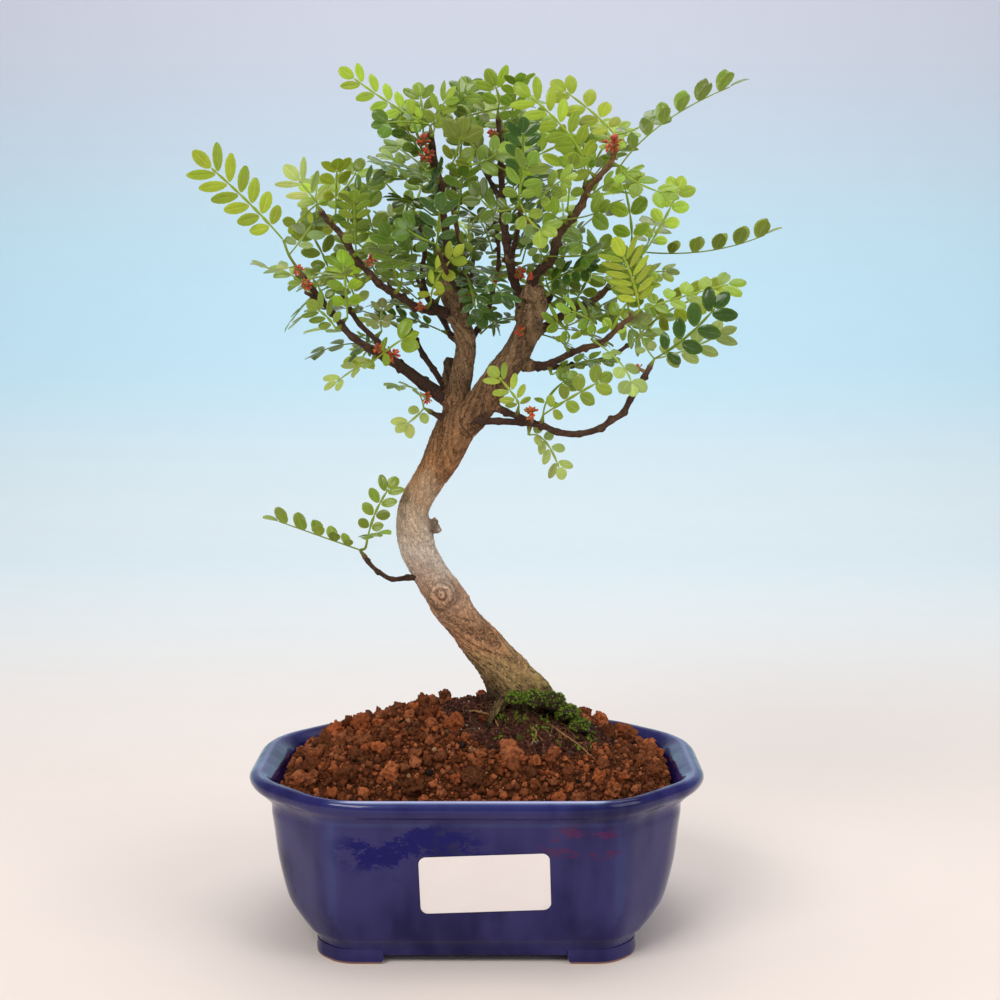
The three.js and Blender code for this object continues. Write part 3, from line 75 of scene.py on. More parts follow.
def stained(shade, share, red, green, blue):
    """Colours mixed towards a screen colour by a share at each point."""
    return shade * (1 - share[:, None]) + linear(red, green, blue) * share[:, None]


# Vectors as plain tuples

def add(a, b):
    return (a[0] + b[0], a[1] + b[1], a[2] + b[2])


def sub(a, b):
    return (a[0] - b[0], a[1] - b[1], a[2] - b[2])


def mul(a, k):
    return (a[0] * k, a[1] * k, a[2] * k)


def ahead(a, b, k):
    """The point that lies k times b away from a."""
    return (a[0] + b[0] * k, a[1] + b[1] * k, a[2] + b[2] * k)


def dot(a, b):
    return a[0] * b[0] + a[1] * b[1] + a[2] * b[2]


def cross(a, b):
    return (a[1] * b[2] - a[2] * b[1], a[2] * b[0] - a[0] * b[2], a[0] * b[1] - a[1] * b[0])


def size(a):
    return sqrt(dot(a, a))


def unit(a):
    return mul(a, 1 / size(a))


def across(a, axis):
    return sub(a, mul(axis, dot(a, axis)))


def turned(v, axis, angle):
    c = cos(angle)
    s = sin(angle)
    return add(ahead(mul(v, c), cross(axis, v), s), mul(axis, dot(axis, v) * (1 - c)))


def spot(place):
    """A point read in the front view at (x, z), on its line of sight at the stated depth y."""
    x, z, y = place
    slide = (y - EYE[1]) / -EYE[1]
    return (EYE[0] + (x - EYE[0]) * slide, float(y), EYE[2] + (z - EYE[2]) * slide)


def dice(seed):
    """Seeded random draws between 0 and 1."""
    state = seed

    def draw():
        nonlocal state
        state = (state * 16807) % 2147483647
        return state / 2147483647

    return draw


# Wood: each trunk row is x and z in the front view, depth y and radius
TRUNK_ROWS = [
    [19, 66, 1, 8], [18.6, 74, 1, 10.5], [17.6, 81, 1, 12.6], [16.2, 86, 1, 11.6], [13.3, 90.5, 1, 9.7],
    [10.5, 95, 1, 8.5], [6.6, 100, 1, 7.5], [2.2, 105, 1, 7.5], [-2.2, 110, 1, 6.9], [-6.2, 115, 1, 6.6],
    [-10.2, 120.5, 1, 7.4], [-12.6, 125, 0, 7.2], [-16, 130, 0, 6.6], [-18.9, 135, 0, 6.4],
    [-21.7, 140.5, -1, 6.5], [-23, 146, -1, 6.9], [-24, 152, -1, 6.1], [-23.6, 157, -1, 5.7],
    [-21, 163, -1, 5.7], [-17, 169.5, 0, 5.9], [-13.6, 175, 0, 6.7], [-11, 181, 0, 7.3],
    [-8.2, 187, 0, 7.4], [-6.6, 192, 0, 6.2], [-6, 196, 0, 3.4],
]

# Surface roots and snags: radius at the start and the end, then points in the front view
ROOTS = [
    ((4.2, 1.2), [[20, 86, -3], [27, 83.5, -6], [33, 79.5, -9], [38, 75, -11], [42, 70.5, -13]]),
    ((3.6, 1), [[12, 86, -6], [9, 82, -12], [6, 78.5, -17], [4, 73, -21]]),
    ((3.6, 1), [[19, 86, 6], [26, 83.5, 11], [33, 79, 15], [37, 73, 18]]),
    ((3.4, 1), [[10, 87, 5], [4, 84, 11], [-2, 80, 15], [-6, 76, 17]]),
]
SNAGS = [
    ((2.6, 1.2), [[-19, 149.5, -1], [-16.5, 150.5, -2], [-14.2, 148.2, -3]]),
    ((2, 1), [[-18, 150.5, 0], [-16, 152, 0], [-15, 153, 0]]),
]
SCAR = {"centre": (-13.4, 124.6, -6.2), "radius": 4.4, "thick": 1.5}

# Branches: radius at the start and the end, then points in the front view
BRANCHES = {
    "left_stem": ((4.6, 3.1), [[-7.4, 188, 0], [-8.2, 195, 0], [-6.7, 200, 1], [-5.8, 206, 1],
        [-4.8, 212, 2], [-4, 218, 3], [-5, 224, 3], [-7.5, 230, 3], [-10, 236, 4], [-11, 241, 4]]),
    "right_limb": ((6.2, 4.1), [[-6, 188, 0], [-1, 193, -2], [3.5, 199, -4], [7.3, 205, -5], [11, 210, -5],
        [14.7, 215, -5], [17.3, 220, -4], [19.5, 226, -4], [21.6, 232, -3], [22.6, 237, -3]]),
    "limb_cap": ((4.2, 1.9), [[21.8, 233, -3], [22.7, 237, -3], [22.9, 240.2, -3]]),
    "hidden_stub": ((2.8, 2.3), [[-8, 197, 4], [-9.8, 203, 7], [-10, 209, 8], [-10, 213.5, 8]]),
    "low_left": ((2.1, 1), [[-9, 196, -1], [-14, 199, -3], [-20, 203, -5], [-28, 209.5, -8],
        [-34, 213, -10], [-40, 217, -12], [-46, 221, -14], [-50, 225.5, -16], [-53, 229.5, -17],
        [-57, 234, -18], [-60, 238, -19], [-64, 243.5, -20]]),
    "low_left_snag": ((0.8, 0.6), [[-57.5, 234.6, -18], [-60.5, 236, -19], [-63.5, 237.5, -20]]),
    "back_left": ((1.6, 0.9), [[-8.5, 199, 2], [-13, 201, 4], [-19, 205, 9], [-24, 208.5, 14],
        [-28, 211.5, 19], [-34, 216, 25]]),
    "mid_left": ((1.3, 0.9), [[-33.5, 213, -10], [-36.5, 219, -7], [-43, 225.5, -3], [-46, 230, 0],
        [-49, 236, 2], [-51.5, 239, 3], [-53, 242, 4]]),
    "high_back_left": ((1.5, 0.9), [[-8, 200, 4], [-12, 203, 7], [-16, 209, 11], [-19.5, 214, 14],
        [-22.5, 219.5, 17], [-25.5, 226, 20], [-28.5, 231, 23], [-31, 236.5, 26], [-33, 243, 30]]),
    "high_left": ((1.8, 1.1), [[-8, 228.5, 3], [-12, 230, 0], [-17, 230.5, -3], [-22, 232, -6],
        [-27, 235, -8], [-32, 238, -9], [-36, 240.5, -10], [-39, 244, -11], [-43, 248, -12],
        [-47, 254, -12], [-51, 260, -12], [-54.5, 263.5, -12], [-57, 267, -12]]),
    "rear_left": ((1.4, 0.9), [[-5.5, 219, 4], [-9.5, 221.5, 10], [-12, 226.5, 16], [-16, 232, 23],
        [-20, 238, 29], [-23, 245, 34]]),
    "left_twig": ((1.5, 0.9), [[-8, 229, 5], [-13, 231, 8], [-17, 234, 12], [-19, 238, 15], [-20, 245, 17],
        [-19, 253, 19], [-20, 260, 21], [-22, 265, 23]]),
    "left_leader": ((2, 1.2), [[-10.7, 238, 4], [-10.5, 250, 3], [-11.5, 262, 2], [-13, 270, 1],
        [-13, 276, 0], [-15, 284, -1], [-16, 290, -2], [-16.5, 295, -2]]),
    "inner_twig": ((1.5, 0.9), [[-5.5, 226, 2], [-4.5, 236, -2], [-4, 243, -5], [-4.4, 248, -7],
        [-6.5, 257, -9], [-8, 266, -9], [-8.3, 274, -8], [-9, 281, -8]]),
    "front_twig": ((1.2, 0.8), [[-4.5, 236, -2], [-7, 238.5, -8], [-9.5, 242, -14], [-12, 247, -22],
        [-14, 253, -28]]),
    "middle_twig": ((1.3, 0.8), [[-3, 219, 4], [0.5, 224, 9], [4, 230, 13], [6, 238, 17], [8, 247, 20],
        [8, 256, 23], [7, 263, 26]]),
    "leader": ((2.4, 1.1), [[17.8, 228, -2], [15.5, 236, 1], [13.5, 243, 3], [12, 249, 4], [11, 256, 5],
        [10, 263, 5], [9.3, 271, 5], [9.2, 280, 4], [8.6, 289, 4], [8, 300, 4]]),
    "leader_front": ((1.3, 0.8), [[12, 249, 4], [14, 255, -6], [15.5, 262, -18], [16, 268, -27]]),
    "leader_back": ((1.2, 0.8), [[9.4, 270, 5], [6, 276, 16], [2, 283, 26], [-1, 289, 34]]),
    "top_right": ((2.3, 1), [[19.5, 235, -4], [20.8, 242, -5], [24, 246, -6], [28, 249.5, -7],
        [29, 255, -8], [31.3, 260, -8], [35, 264, -9], [38.5, 269, -9], [41, 275, -10], [44.5, 279, -10],
        [49, 284, -10], [50.2, 288, -10], [50.3, 291.5, -10]]),
    "top_right_back": ((1.2, 0.8), [[35, 264, -9], [37, 268, 2], [39, 272, 13], [40, 277, 22]]),
    "high_right": ((1.8, 1.3), [[21, 222, -2], [26, 225, 2], [31, 228.5, 5], [37, 232, 8], [42, 234, 11],
        [46, 236.5, 13], [50, 241.5, 15]]),
    "mid_right": ((1.7, 1), [[18, 210.8, -6], [23, 210.3, -9], [28, 211.5, -13], [35, 215, -17],
        [40, 217, -20], [45, 218.3, -22], [49, 221, -24], [53, 225, -26], [58, 229, -28]]),
    "mid_right_back": ((1.5, 0.9), [[13, 211.5, -4], [18, 210.5, 0], [25, 209.8, 5], [35, 210.3, 12],
        [44, 212, 18], [50, 214, 22], [56, 218, 27]]),
    "low_right": ((1.6, 1.2), [[-4, 191.5, -4], [2, 190, -8], [8, 189.8, -10], [17, 189.3, -12],
        [24, 188.3, -15], [30, 185.8, -18], [38, 185, -21], [46, 187.3, -24], [50, 190, -25],
        [54.5, 193, -26], [57, 198, -27], [59.5, 201.5, -27], [62, 206, -28], [64.5, 210.5, -28]]),
    "low_right_fork": ((1.5, 1.2), [[5, 196, -6], [11, 193.2, -9], [16, 191.3, -11], [22, 189, -14]]),
    "low_left_spur": ((1.3, 0.9), [[-10, 189.5, -2], [-14, 191.6, -5], [-17.5, 193.5, -7]]),
    "trunk_twig": ((1.2, 0.9), [[-20, 131.3, -2], [-26, 130.8, -5], [-32, 130.3, -8], [-37, 133, -10],
        [-41, 137, -12], [-42.3, 139, -12]]),
    "rear_right": ((1.8, 0.9), [[16, 218, 0], [19, 222, 8], [23, 228, 17], [27, 235, 26], [30, 243, 34],
        [32, 252, 40]]),
    "rear_middle": ((1.6, 0.9), [[-5, 223, 5], [-4, 228, 14], [-3, 234, 23], [-2, 242, 32], [-1, 250, 38]]),
}
THICK = ("left_stem", "right_limb", "limb_cap", "hidden_stub")

# Sprays: branch, place along it, further points of the shoot, fronds. A frond is a feather-shaped leaf: a rib
# with pairs of leaflets and one at its tip. Its row is start, middle, tip, face, fold, pairs, leaflet, tone.
# start counts along the shoot; middle and tip are points of the rib in the front view; face turns the blade
# from level (0) to the front (90); fold raises the leaflets out of its plane; tone is the colour group.
SPRAYS = [
    ["low_left", 11, [[-66.5, 247, -20], [-69, 251, -21], [-71, 256.5, -22]], [
        [3, [-83, 269.5, -26], [-97, 282.5, -30], 75, 0, 6, 10.3, "fresh"],
        [1, [-72.5, 246, -22], [-78, 246.5, -24], 12, 10, 2, 6.5, "pale"],
        [2, [-63, 257, -14], [-58, 263, -9], 60, 0, 3, 7.5, "mist"]]],
    ["low_left", 7, [], [[0, [-54.5, 227.5, -20], [-58.5, 231, -22], 85, 0, 3, 6.6, "leaf"]]],
    ["low_left", 4.5, [], [[0, [-43, 210.5, -14], [-52, 204.5, -17], 25, 10, 3, 6.8, "pale"],
        [0, [-31, 217, -18], [-26, 220, -20], 55, 0, 2, 8.2, "bright"]]],
    ["mid_left", 1.2, [], [[0, [-36.4, 226, -5], [-36.6, 231.5, -4], -60, 0, 3, 4.8, "mist"],
        [0, [-45, 216.5, -2], [-49, 214.5, 0], 60, 0, 2, 6.4, "dark"]]],
    ["mid_left", 3, [], [[0, [-45, 236, -1], [-48.5, 244, 0], 75, 0, 3, 7.6, "pale"]]],
    ["mid_left", 6, [], [[0, [-56, 250, 3], [-60.5, 258.5, 1], 70, 0, 3, 8, "leaf"],
        [0, [-58, 243, 8], [-64, 242, 13], 40, 0, 2, 7.4, "leaf"],
        [0, [-48, 249, 11], [-46, 256, 17], 60, 0, 3, 7.6, "leaf"]]],
    ["low_left_spur", 2, [], [[0, [-22, 192, -9], [-26, 188.8, -11], 50, 0, 2, 6.4, "pale"],
        [0, [-24, 201.5, -10], [-33, 203, -13], 15, 0, 3, 5.6, "mist"]]],
    ["high_left", 12, [], [[0, [-60, 272, -14], [-65, 278, -16], 80, 0, 3, 9, "milk"],
        [0, [-61, 261.5, -7], [-62.5, 255.5, -4], 75, 0, 2, 8, "fresh"],
        [0, [-50, 273.5, -8], [-44, 281, -5], 45, 0, 4, 7.2, "leaf"]]],
    ["high_left", 9.6, [], [[0, [-46, 268.5, -15], [-38, 278, -16], 35, 10, 5, 7.6, "dark"]]],
    ["high_left", 4.6, [], [[0, [-28, 248, -18], [-32, 257.5, -22], 82, 0, 4, 7.6, "dark"],
        [0, [-36, 255, -1], [-41, 270.5, 3], 70, 0, 4, 7.6, "olive"]]],
    ["high_left", 2.4, [], [[0, [-17.5, 241, -14], [-12.5, 250.5, -20], 50, 0, 4, 7, "fresh"]]],
    ["left_twig", 7, [], [[0, [-28, 271.5, 24], [-33.5, 277.5, 25], 70, 0, 2, 7.6, "olive"],
        [0, [-24.5, 271, 15], [-26, 264, 9], 10, 0, 3, 6.6, "dark"],
        [0, [-21, 273, 31], [-19, 280, 38], 50, 0, 3, 8, "leaf"]]],
    ["left_leader", 7, [], [[0, [-28, 303.5, -6], [-44.5, 314.5, -9], 60, 0, 6, 7.6, "fresh"],
        [0, [-26, 299, -13], [-33, 298.5, -17], 60, 0, 2, 6.6, "dark"],
        [0, [-10, 302.5, -5], [-4, 308.5, -7], 55, 0, 3, 7.6, "gloss"]]],
    ["left_leader", 4.75, [], [[0, [-27.5, 281, -9], [-41, 283, -13], 35, 0, 4, 7.4, "dark"],
        [0, [-22, 285, 8], [-29, 290, 15], 40, 0, 3, 7.6, "leaf"]]],
    ["left_leader", 4.2, [], [[0, [-18.5, 278, -9], [-23.5, 279.5, -13], 80, 0, 2, 7.2, "deep"]]],
    ["front_twig", 4, [], [[0, [-14, 260, -32], [-13.5, 267, -34], 82, 0, 3, 8.4, "deep"],
        [0, [-20, 257, -30], [-25, 260, -31], 60, 0, 2, 7.4, "dark"]]],
    ["inner_twig", 7, [], [[0, [-7.5, 287, -12], [-5.5, 294, -15], 80, 0, 2, 8.6, "olive"],
        [0, [-3, 284.5, -14], [3.5, 289, -19], 60, 0, 3, 8, "leaf"]]],
    ["leader", 9, [[8, 303.8, 4]], [[1, [8.2, 307.5, 3], [7, 311.5, 2], 82, 0, 2, 8.8, "bright"],
        [1, [0, 302, 1], [-9, 299.5, -1], 50, 0, 3, 8, "leaf"],
        [1, [13, 305, 13], [19, 307, 21], 40, 0, 3, 8, "leaf"]]],
    ["top_right", 12, [], [[0, [44, 301, -5], [32.5, 309.8, -1], 65, 0, 4, 8.4, "fresh"],
        [0, [57, 296, -4], [64.5, 299.8, -1], 30, 0, 2, 8, "gloss"]]],
    ["top_right", 10, [], [[0, [68, 299, -17], [92, 312.3, -22], 15, 50, 6, 9, "leaf"],
        [0, [57, 278.3, -17], [68, 273.5, -22], 45, 0, 3, 8, "bright"]]],
    ["top_right", 8.9, [], [[0, [34.5, 295, -15], [21, 308.8, -18], 78, 0, 6, 9.4, "fresh"],
        [0, [32, 279.7, -1], [21, 277, 4], 5, 15, 4, 6.4, "gloss"]]],
    ["top_right", 5.6, [], [[0, [30, 264, -14], [27.5, 267, -17], 60, 0, 1, 8, "bright"],
        [0, [40, 265, -14], [45, 267, -17], 70, 0, 1, 8, "leaf"]]],
    ["high_right", 6, [[56, 247.5, 15], [62, 252, 13]], [
        [1, [57, 260, 8], [54, 277, 4], 82, 0, 4, 8.2, "bright"],
        [2, [85, 252.5, 4], [106, 258.3, -2], 8, 58, 5, 8.2, "leaf"],
        [2, [69, 264, 16], [74, 274.5, 18], 82, 0, 4, 7, "lime"],
        [0, [46, 251.5, 7], [37.5, 256, 2], 50, 0, 3, 9, "gloss"],
        [2, [64, 258, 24], [66, 262, 33], 45, 0, 3, 8.4, "gloss"]]],
    ["mid_right", 8, [], [[0, [58, 240.5, -32], [54, 250.5, -35], 86, 0, 6, 9.4, "fresh"],
        [0, [75, 235.5, -24], [93, 240.3, -20], 40, 0, 5, 8, "bright"]]],
    ["mid_right_back", 6, [], [[0, [71, 230.5, 14], [88, 237, 6], 60, 0, 5, 8.4, "fresh"],
        [0, [62, 222, 36], [67, 229, 43], 50, 0, 3, 8, "leaf"]]],
    ["low_right", 13, [], [[0, [77, 220.5, -34], [88, 231.5, -37], 70, 0, 4, 9, "deep"],
        [0, [77, 216, -24], [90, 221.8, -21], 45, 0, 4, 8.2, "pale"],
        [0, [64.5, 219, -22], [64.5, 227, -18], 60, 0, 2, 5.4, "mist"]]],
    ["low_right_fork", 1.8, [], [[0, [17, 199, -15], [13, 207, -18], 80, 0, 4, 6.6, "lime"]]],
    ["low_right", 4, [], [[0, [34, 198, -24], [45.5, 204.5, -29], 80, 0, 4, 6.6, "leaf"],
        [0, [27, 199, -4], [33, 205, 0], 60, 0, 2, 6.4, "leaf"]]],
    ["low_right", 3.4, [], [[0, [25.5, 183, -16], [32, 173.5, -19], 55, 0, 4, 6.2, "pale"]]],
    ["trunk_twig", 5, [[-42, 142, -12], [-41, 146, -12]], [
        [0, [-57, 146, -17], [-74.5, 152.3, -21], 10, 52, 5, 7, "leaf"],
        [2, [-38, 155.5, -10], [-33, 164.5, -8], 55, 10, 4, 6.6, "leaf"],
        [2, [-38, 147.5, -17], [-34.5, 147.5, -22], 30, 0, 2, 6.2, "leaf"]]],
    ["mid_right", 5, [], [[0, [43, 226, -30], [35, 230.5, -35], 50, 0, 4, 7.8, "bright"],
        [0, [54, 212, -25], [60, 204, -27], 20, 0, 3, 6.2, "pale"]]],
    ["mid_right", 3, [], [[0, [34, 222, -23], [29, 226.5, -28], 50, 0, 3, 7.6, "bright"]]],
    ["high_right", 3, [], [[0, [41, 242.5, 3], [46, 253, -1], 80, 0, 4, 8, "olive"],
        [0, [29, 236, 10], [25.5, 243, 14], 50, 0, 3, 8.4, "leaf"]]],
    ["top_right", 2.7, [], [[0, [23, 253, -13], [19.5, 259, -17], 60, 0, 3, 7.2, "mist"],
        [0, [34, 250.5, -14], [41, 251, -19], 50, 0, 2, 8, "dark"]]],
    ["leader_front", 3, [], [[0, [20, 263, -30], [24, 260, -32], 60, 0, 2, 8, "leaf"],
        [0, [16, 275, -33], [19, 283, -37], 65, 0, 3, 8, "leaf"],
        [0, [8, 267, -31], [1, 272, -34], 60, 0, 3, 7.6, "dark"]]],
    ["leader", 7, [], [[0, [19, 286, -2], [30, 292, -6], 80, 0, 4, 8.6, "fresh"],
        [0, [1, 284.5, 6], [-6, 290, 8], 60, 0, 3, 8, "leaf"]]],
    ["leader", 8.2, [], [[0, [15.5, 296, 4], [23, 300.5, 5], 65, 0, 3, 8, "leaf"]]],
]

# Spur sprays on the sides that the front view hides: branch, place along it, fronds
FILLERS = [
    ["back_left", 5, 3], ["high_back_left", 8, 3], ["rear_left", 5, 3], ["rear_middle", 4, 3],
    ["rear_right", 5, 3], ["leader_back", 3, 3], ["top_right_back", 3, 3], ["middle_twig", 6, 2],
    ["high_back_left", 5, 2],
]

# Flower buds in small red clusters: branch, place along it, way out in the front view, radius
FLOWERS = [
    ["top_right", 11.85, [48, 296, -22], 3.4], ["left_leader", 5.6, [-20.5, 288, -8], 2.8],
    ["left_leader", 6.4, [-20.5, 293, -6], 2.4], ["low_left", 10.6, [-65, 240, -30], 2.2],
    ["low_left", 3.9, [-31, 216, -16], 2.6], ["low_right", 3.55, [19, 194, -16], 2.8],
    ["leader", 2, [18, 245, -5], 2.2], ["high_left", 7.6, [-40, 252, -15], 2.4],
    ["middle_twig", 3.4, [6, 241, 10], 2.2],
]
# Smaller clusters that only the dressed plant has


# Smaller clusters that only the dressed plant has
SMALL_FLOWERS = [
    ["leader", 8.5, [2, 296, -4], 1.9], ["leader_front", 2, [18, 268, -26], 1.8],
    ["top_right", 1.2, [22, 247, -14], 1.7], ["right_limb", 6.4, [15, 223, -14], 1.9],
    ["low_left", 11, [-71, 250, -24], 1.9], ["high_left", 3, [-22, 234, -14], 1.7],
    ["low_left", 4.7, [-37, 220, -20], 1.9], ["low_left", 1.6, [-19, 195, -12], 2.1],
    ["low_right", 12.4, [66, 214, -28], 1.5], ["inner_twig", 1, [-1, 236, -10], 1.5],
]
# Ways in which a frond is tried in turn: its size, degrees up and degrees sideways
TWISTS = (0, 9, -9, 18, -18, 27, -27, 36, -36, 45, -45)
LIFTS = (0, 8, -8, 16, -16, 24)
TRIES = [(shrink, lift, twist) for shrink in (1, 0.82, 0.68) for lift in LIFTS for twist in TWISTS]
SPUR_TRIES = ((1, 0, 0), (1, 14, 22), (1, -14, -22), (1, 26, -10), (1, -26, 10), (1, 5, 45), (1, 5, -45))
PAIRS_KEPT = (0, 1, 2, 2, 2, 3, 4)
RIB = 0.6
MARGIN = 1.15
SPUR = 2.4
SHOOT_RADIUS = 0.75


def taper(count, start, end):
    """Radii falling evenly from the first to the last of a count of points."""
    return [start + (end - start) * i / (count - 1) for i in range(count)]


@cache
def branch_line(name):
    """The points of a branch and the radius at each."""
    radii, points = BRANCHES[name]
    return [spot(point) for point in points], taper(len(points), *radii)


class Leaflet:
    """One blade of a frond: its foot, the way it points, its upper side and its size."""

    def __init__(self, hand, base, axis, normal, side, length, width):
        self.hand, self.base, self.axis, self.normal, self.side = hand, base, axis, normal, side
        self.length, self.width = length, width
        self.centre = ahead(base, axis, 0.52 * length)
        self.corners = (base, self.at(0.6, -0.5), self.at(1, 0), self.at(0.6, 0.5))

    def at(self, u, v):
        """A point of the blade, as shares of its length and width."""
        return add(self.base, ahead(mul(self.axis, u * self.length), self.side, v * self.width))

    def holds(self, point, grow, thick):
        """True where a point lies within the blade's oval, made wider by grow and thicker by thick."""
        offset = sub(point, self.centre)
        if abs(dot(offset, self.normal)) > thick:
            return False
        u = dot(offset, self.axis) / (0.5 * self.length + grow)
        v = dot(offset, self.side) / (0.5 * self.width + grow)
        return u * u + v * v < 1

    def struck(self, start, end, grow, thick):
        """True where a straight stretch comes near the blade or passes through it."""
        if self.holds(start, grow, thick) or self.holds(end, grow, thick):
            return True
        a = dot(sub(start, self.centre), self.normal)
        b = dot(sub(end, self.centre), self.normal)
        if a * b >= 0:
            return False
        return self.holds(add(start, mul(sub(end, start), a / (a - b))), grow, thick)


class Bone:
    """A straight stretch of bare wood, shoot or rib."""

    def __init__(self, start, end, radius, bunch=None):
        self.start, self.end, self.radius, self.bunch = start, end, radius, bunch
        self.way = sub(end, start)
        self.hub = mul(add(start, end), 0.5)
        self.span = size(self.way) / 2 + radius
        self.ribs = [self]
        self.leaflets = []

    def touches(self, leaf):
        if size(sub(leaf.centre, self.hub)) > self.span + self.radius + 0.5 * leaf.length + 3:
            return False
        steps = ceil(size(self.way) / 1.5) + 1
        for i in range(steps + 1):
            if leaf.holds(ahead(self.start, self.way, i / steps), self.radius + 0.4, self.radius + 0.9):
                return True
        return False

    def gap(self, other):
        """Shortest distance to another stretch, stepped along this one."""
        steps = ceil(size(self.way)) + 1
        least = 1e9
        length = max(dot(other.way, other.way), 1e-9)
        for i in range(steps + 1):
            point = ahead(self.start, self.way, i / steps)
            k = min(1, max(0, dot(sub(point, other.start), other.way) / length))
            least = min(least, size(sub(point, ahead(other.start, other.way, k))))
        return least - self.radius - other.radius


class Frond:
    """A feather-shaped leaf whose rib bends evenly from its root through the middle point to the tip."""

    def __init__(self, row, root, middle, tip, grow, pairs=None, closeness=0.9):
        face, fold, counted, leaflet, self.tone = row[3:]
        self.row, self.root, self.middle, self.tip, self.grow = row, root, middle, tip, grow
        self.start = row[0]
        pairs = PAIRS_KEPT[counted] if pairs is None else pairs
        self.bend = sub(mul(middle, 2), mul(add(root, tip), 0.5))
        self.up = (0, -sin(radians(face)), cos(radians(face)))
        half = self.at(0.5)
        reach = size(sub(half, root)) + size(sub(tip, half))
        first = 0.2 if counted > 3 else 0.3
        last = 0.93
        gaps = max(1, pairs - 1)
        self.stations = [first + (last - first) * i / gaps for i in range(pairs)] if pairs > 1 else [0.72]
        spacing = reach * (last - first) / (pairs - 1) if pairs > 1 else 9
        full = leaflet * grow
        plump = 1.25 - 0.065 * leaflet
        lift = radians(fold)
        self.leaflets = []
        for i, t in enumerate(self.stations):
            f = i / (pairs - 1) if pairs > 1 else 1
            point, along, normal, side = self.frame(t)
            lean = radians(66 - 18 * f)
            length = full * (0.7 + 0.3 * f * (2 - f))
            width = min(plump * length, closeness * spacing * sin(lean))
            for hand in (-1, 1):
                out = add(mul(side, hand * cos(lift)), mul(normal, sin(lift)))
                axis = add(mul(along, cos(lean)), mul(out, sin(lean)))
                upper = mul(unit(cross(along, out)), -hand)
                base = ahead(point, side, hand * RIB)
                self.leaflets.append(Leaflet(hand, base, axis, upper, cross(upper, axis), length, width))
        point, along, normal, side = self.frame(1)
        width = min(plump * full, 6.2)
        self.leaflets.append(Leaflet(0, point, along, normal, mul(side, -1), full, width))
        marks = [0, 0.14, *self.stations, 1]
        self.ribs = [Bone(self.at(a), self.at(b), 0.7) for a, b in zip(marks[1:-1], marks[2:])]
        self.hub = self.at(0.6)
        reaches = [size(sub(leaf.corners[2], self.hub)) for leaf in self.leaflets]
        self.span = max(*reaches, size(sub(root, self.hub)))

    def at(self, t):
        return add(add(mul(self.root, (1 - t) ** 2), mul(self.bend, 2 * t * (1 - t))), mul(self.tip, t * t))

    def frame(self, t):
        """Point, way along, upper side and left side of the rib."""
        along = unit(ahead(mul(sub(self.bend, self.root), 1 - t), sub(self.tip, self.bend), t))
        level = across(self.up, along)
        normal = unit(level if size(level) > 0.2 else across((0.3, -1, 0), along))
        return self.at(t), along, normal, cross(along, normal)


def leaves_touch(one, two, margin):
    limit = 0.5 * (one.length + two.length) + 1.5
    if size(sub(one.centre, two.centre)) > limit:
        return False
    for a, b in ((one, two), (two, one)):
        base, low, tip, high = a.corners
        for start, end in ((base, low), (low, tip), (tip, high), (high, base), (base, tip), (low, high)):
            if b.struck(start, end, 0.4, margin):
                return True
    return False


def is_clear(frond, others, bunch, margin=MARGIN):
    """Whether a frond keeps clear of other fronds and of stretches of bare wood and shoots."""
    for other in others:
        if size(sub(other.hub, frond.hub)) < other.span + frond.span + 2:
            if any(leaves_touch(leaf, rival, margin) for leaf in frond.leaflets for rival in other.leaflets):
                return False
            for one, two in ((frond, other), (other, frond)):
                if any(rib.touches(leaf) for leaf in one.leaflets for rib in two.ribs):
                    return False
            if other.bunch != bunch and any(a.gap(b) < 0.5 for a in frond.ribs for b in other.ribs):
                return False
    return True


def perch(name, place):
    """Where a spray leaves its branch: the place, the way along, the radius, and whether it is the end."""
    line, girth = branch_line(name)
    k = min(floor(place), len(line) - 2)
    share = place - k
    point = ahead(line[k], sub(line[k + 1], line[k]), share)
    along = unit(sub(line[k + 1], line[k]))
    return point, along, girth[k] + (girth[k + 1] - girth[k]) * share, place == len(line) - 1


def start_spray(name, place, towards, shoot):
    point, along, radius, at_end = perch(name, place)
    out = along if at_end else unit(across(sub(towards, point), along))
    seat = ahead(point, out, GAP if at_end else radius + GAP)
    return {"seat": seat, "out": out, "joints": [ahead(seat, out, SPUR), *shoot]}


def bloom(name, place, towards, radius):
    """A cluster of buds: its seat, the way out of the branch, its centre and its radius."""
    spray = start_spray(name, place, spot(towards), [])
    return {**spray, "centre": ahead(spray["seat"], spray["out"], radius), "radius": radius}


def grow_frond(row, root, bunch, tries, suits, **full):
    """Tries the frond as read, then lifted, swung or made smaller about its root, until one suits."""
    middle = sub(row[1], root)
    tip = sub(row[2], root)
    sideways = unit(cross(tip, (0, 0.001, 1)))
    for shrink, lift, twist in tries:
        ends = []
        for v in (middle, tip):
            lifted = turned(mul(v, shrink), sideways, radians(lift))
            ends.append(add(root, turned(lifted, (0, 0, 1), radians(twist))))
        frond = Frond(row, root, *ends, shrink, **full)
        if suits(frond):
            frond.bunch = bunch
            return frond
    return None


def fanned(outward, degrees, rise):
    """A way out that is swung sideways and raised."""
    return unit(add(turned(outward, (0, 0, 1), radians(degrees)), (0, 0, rise)))


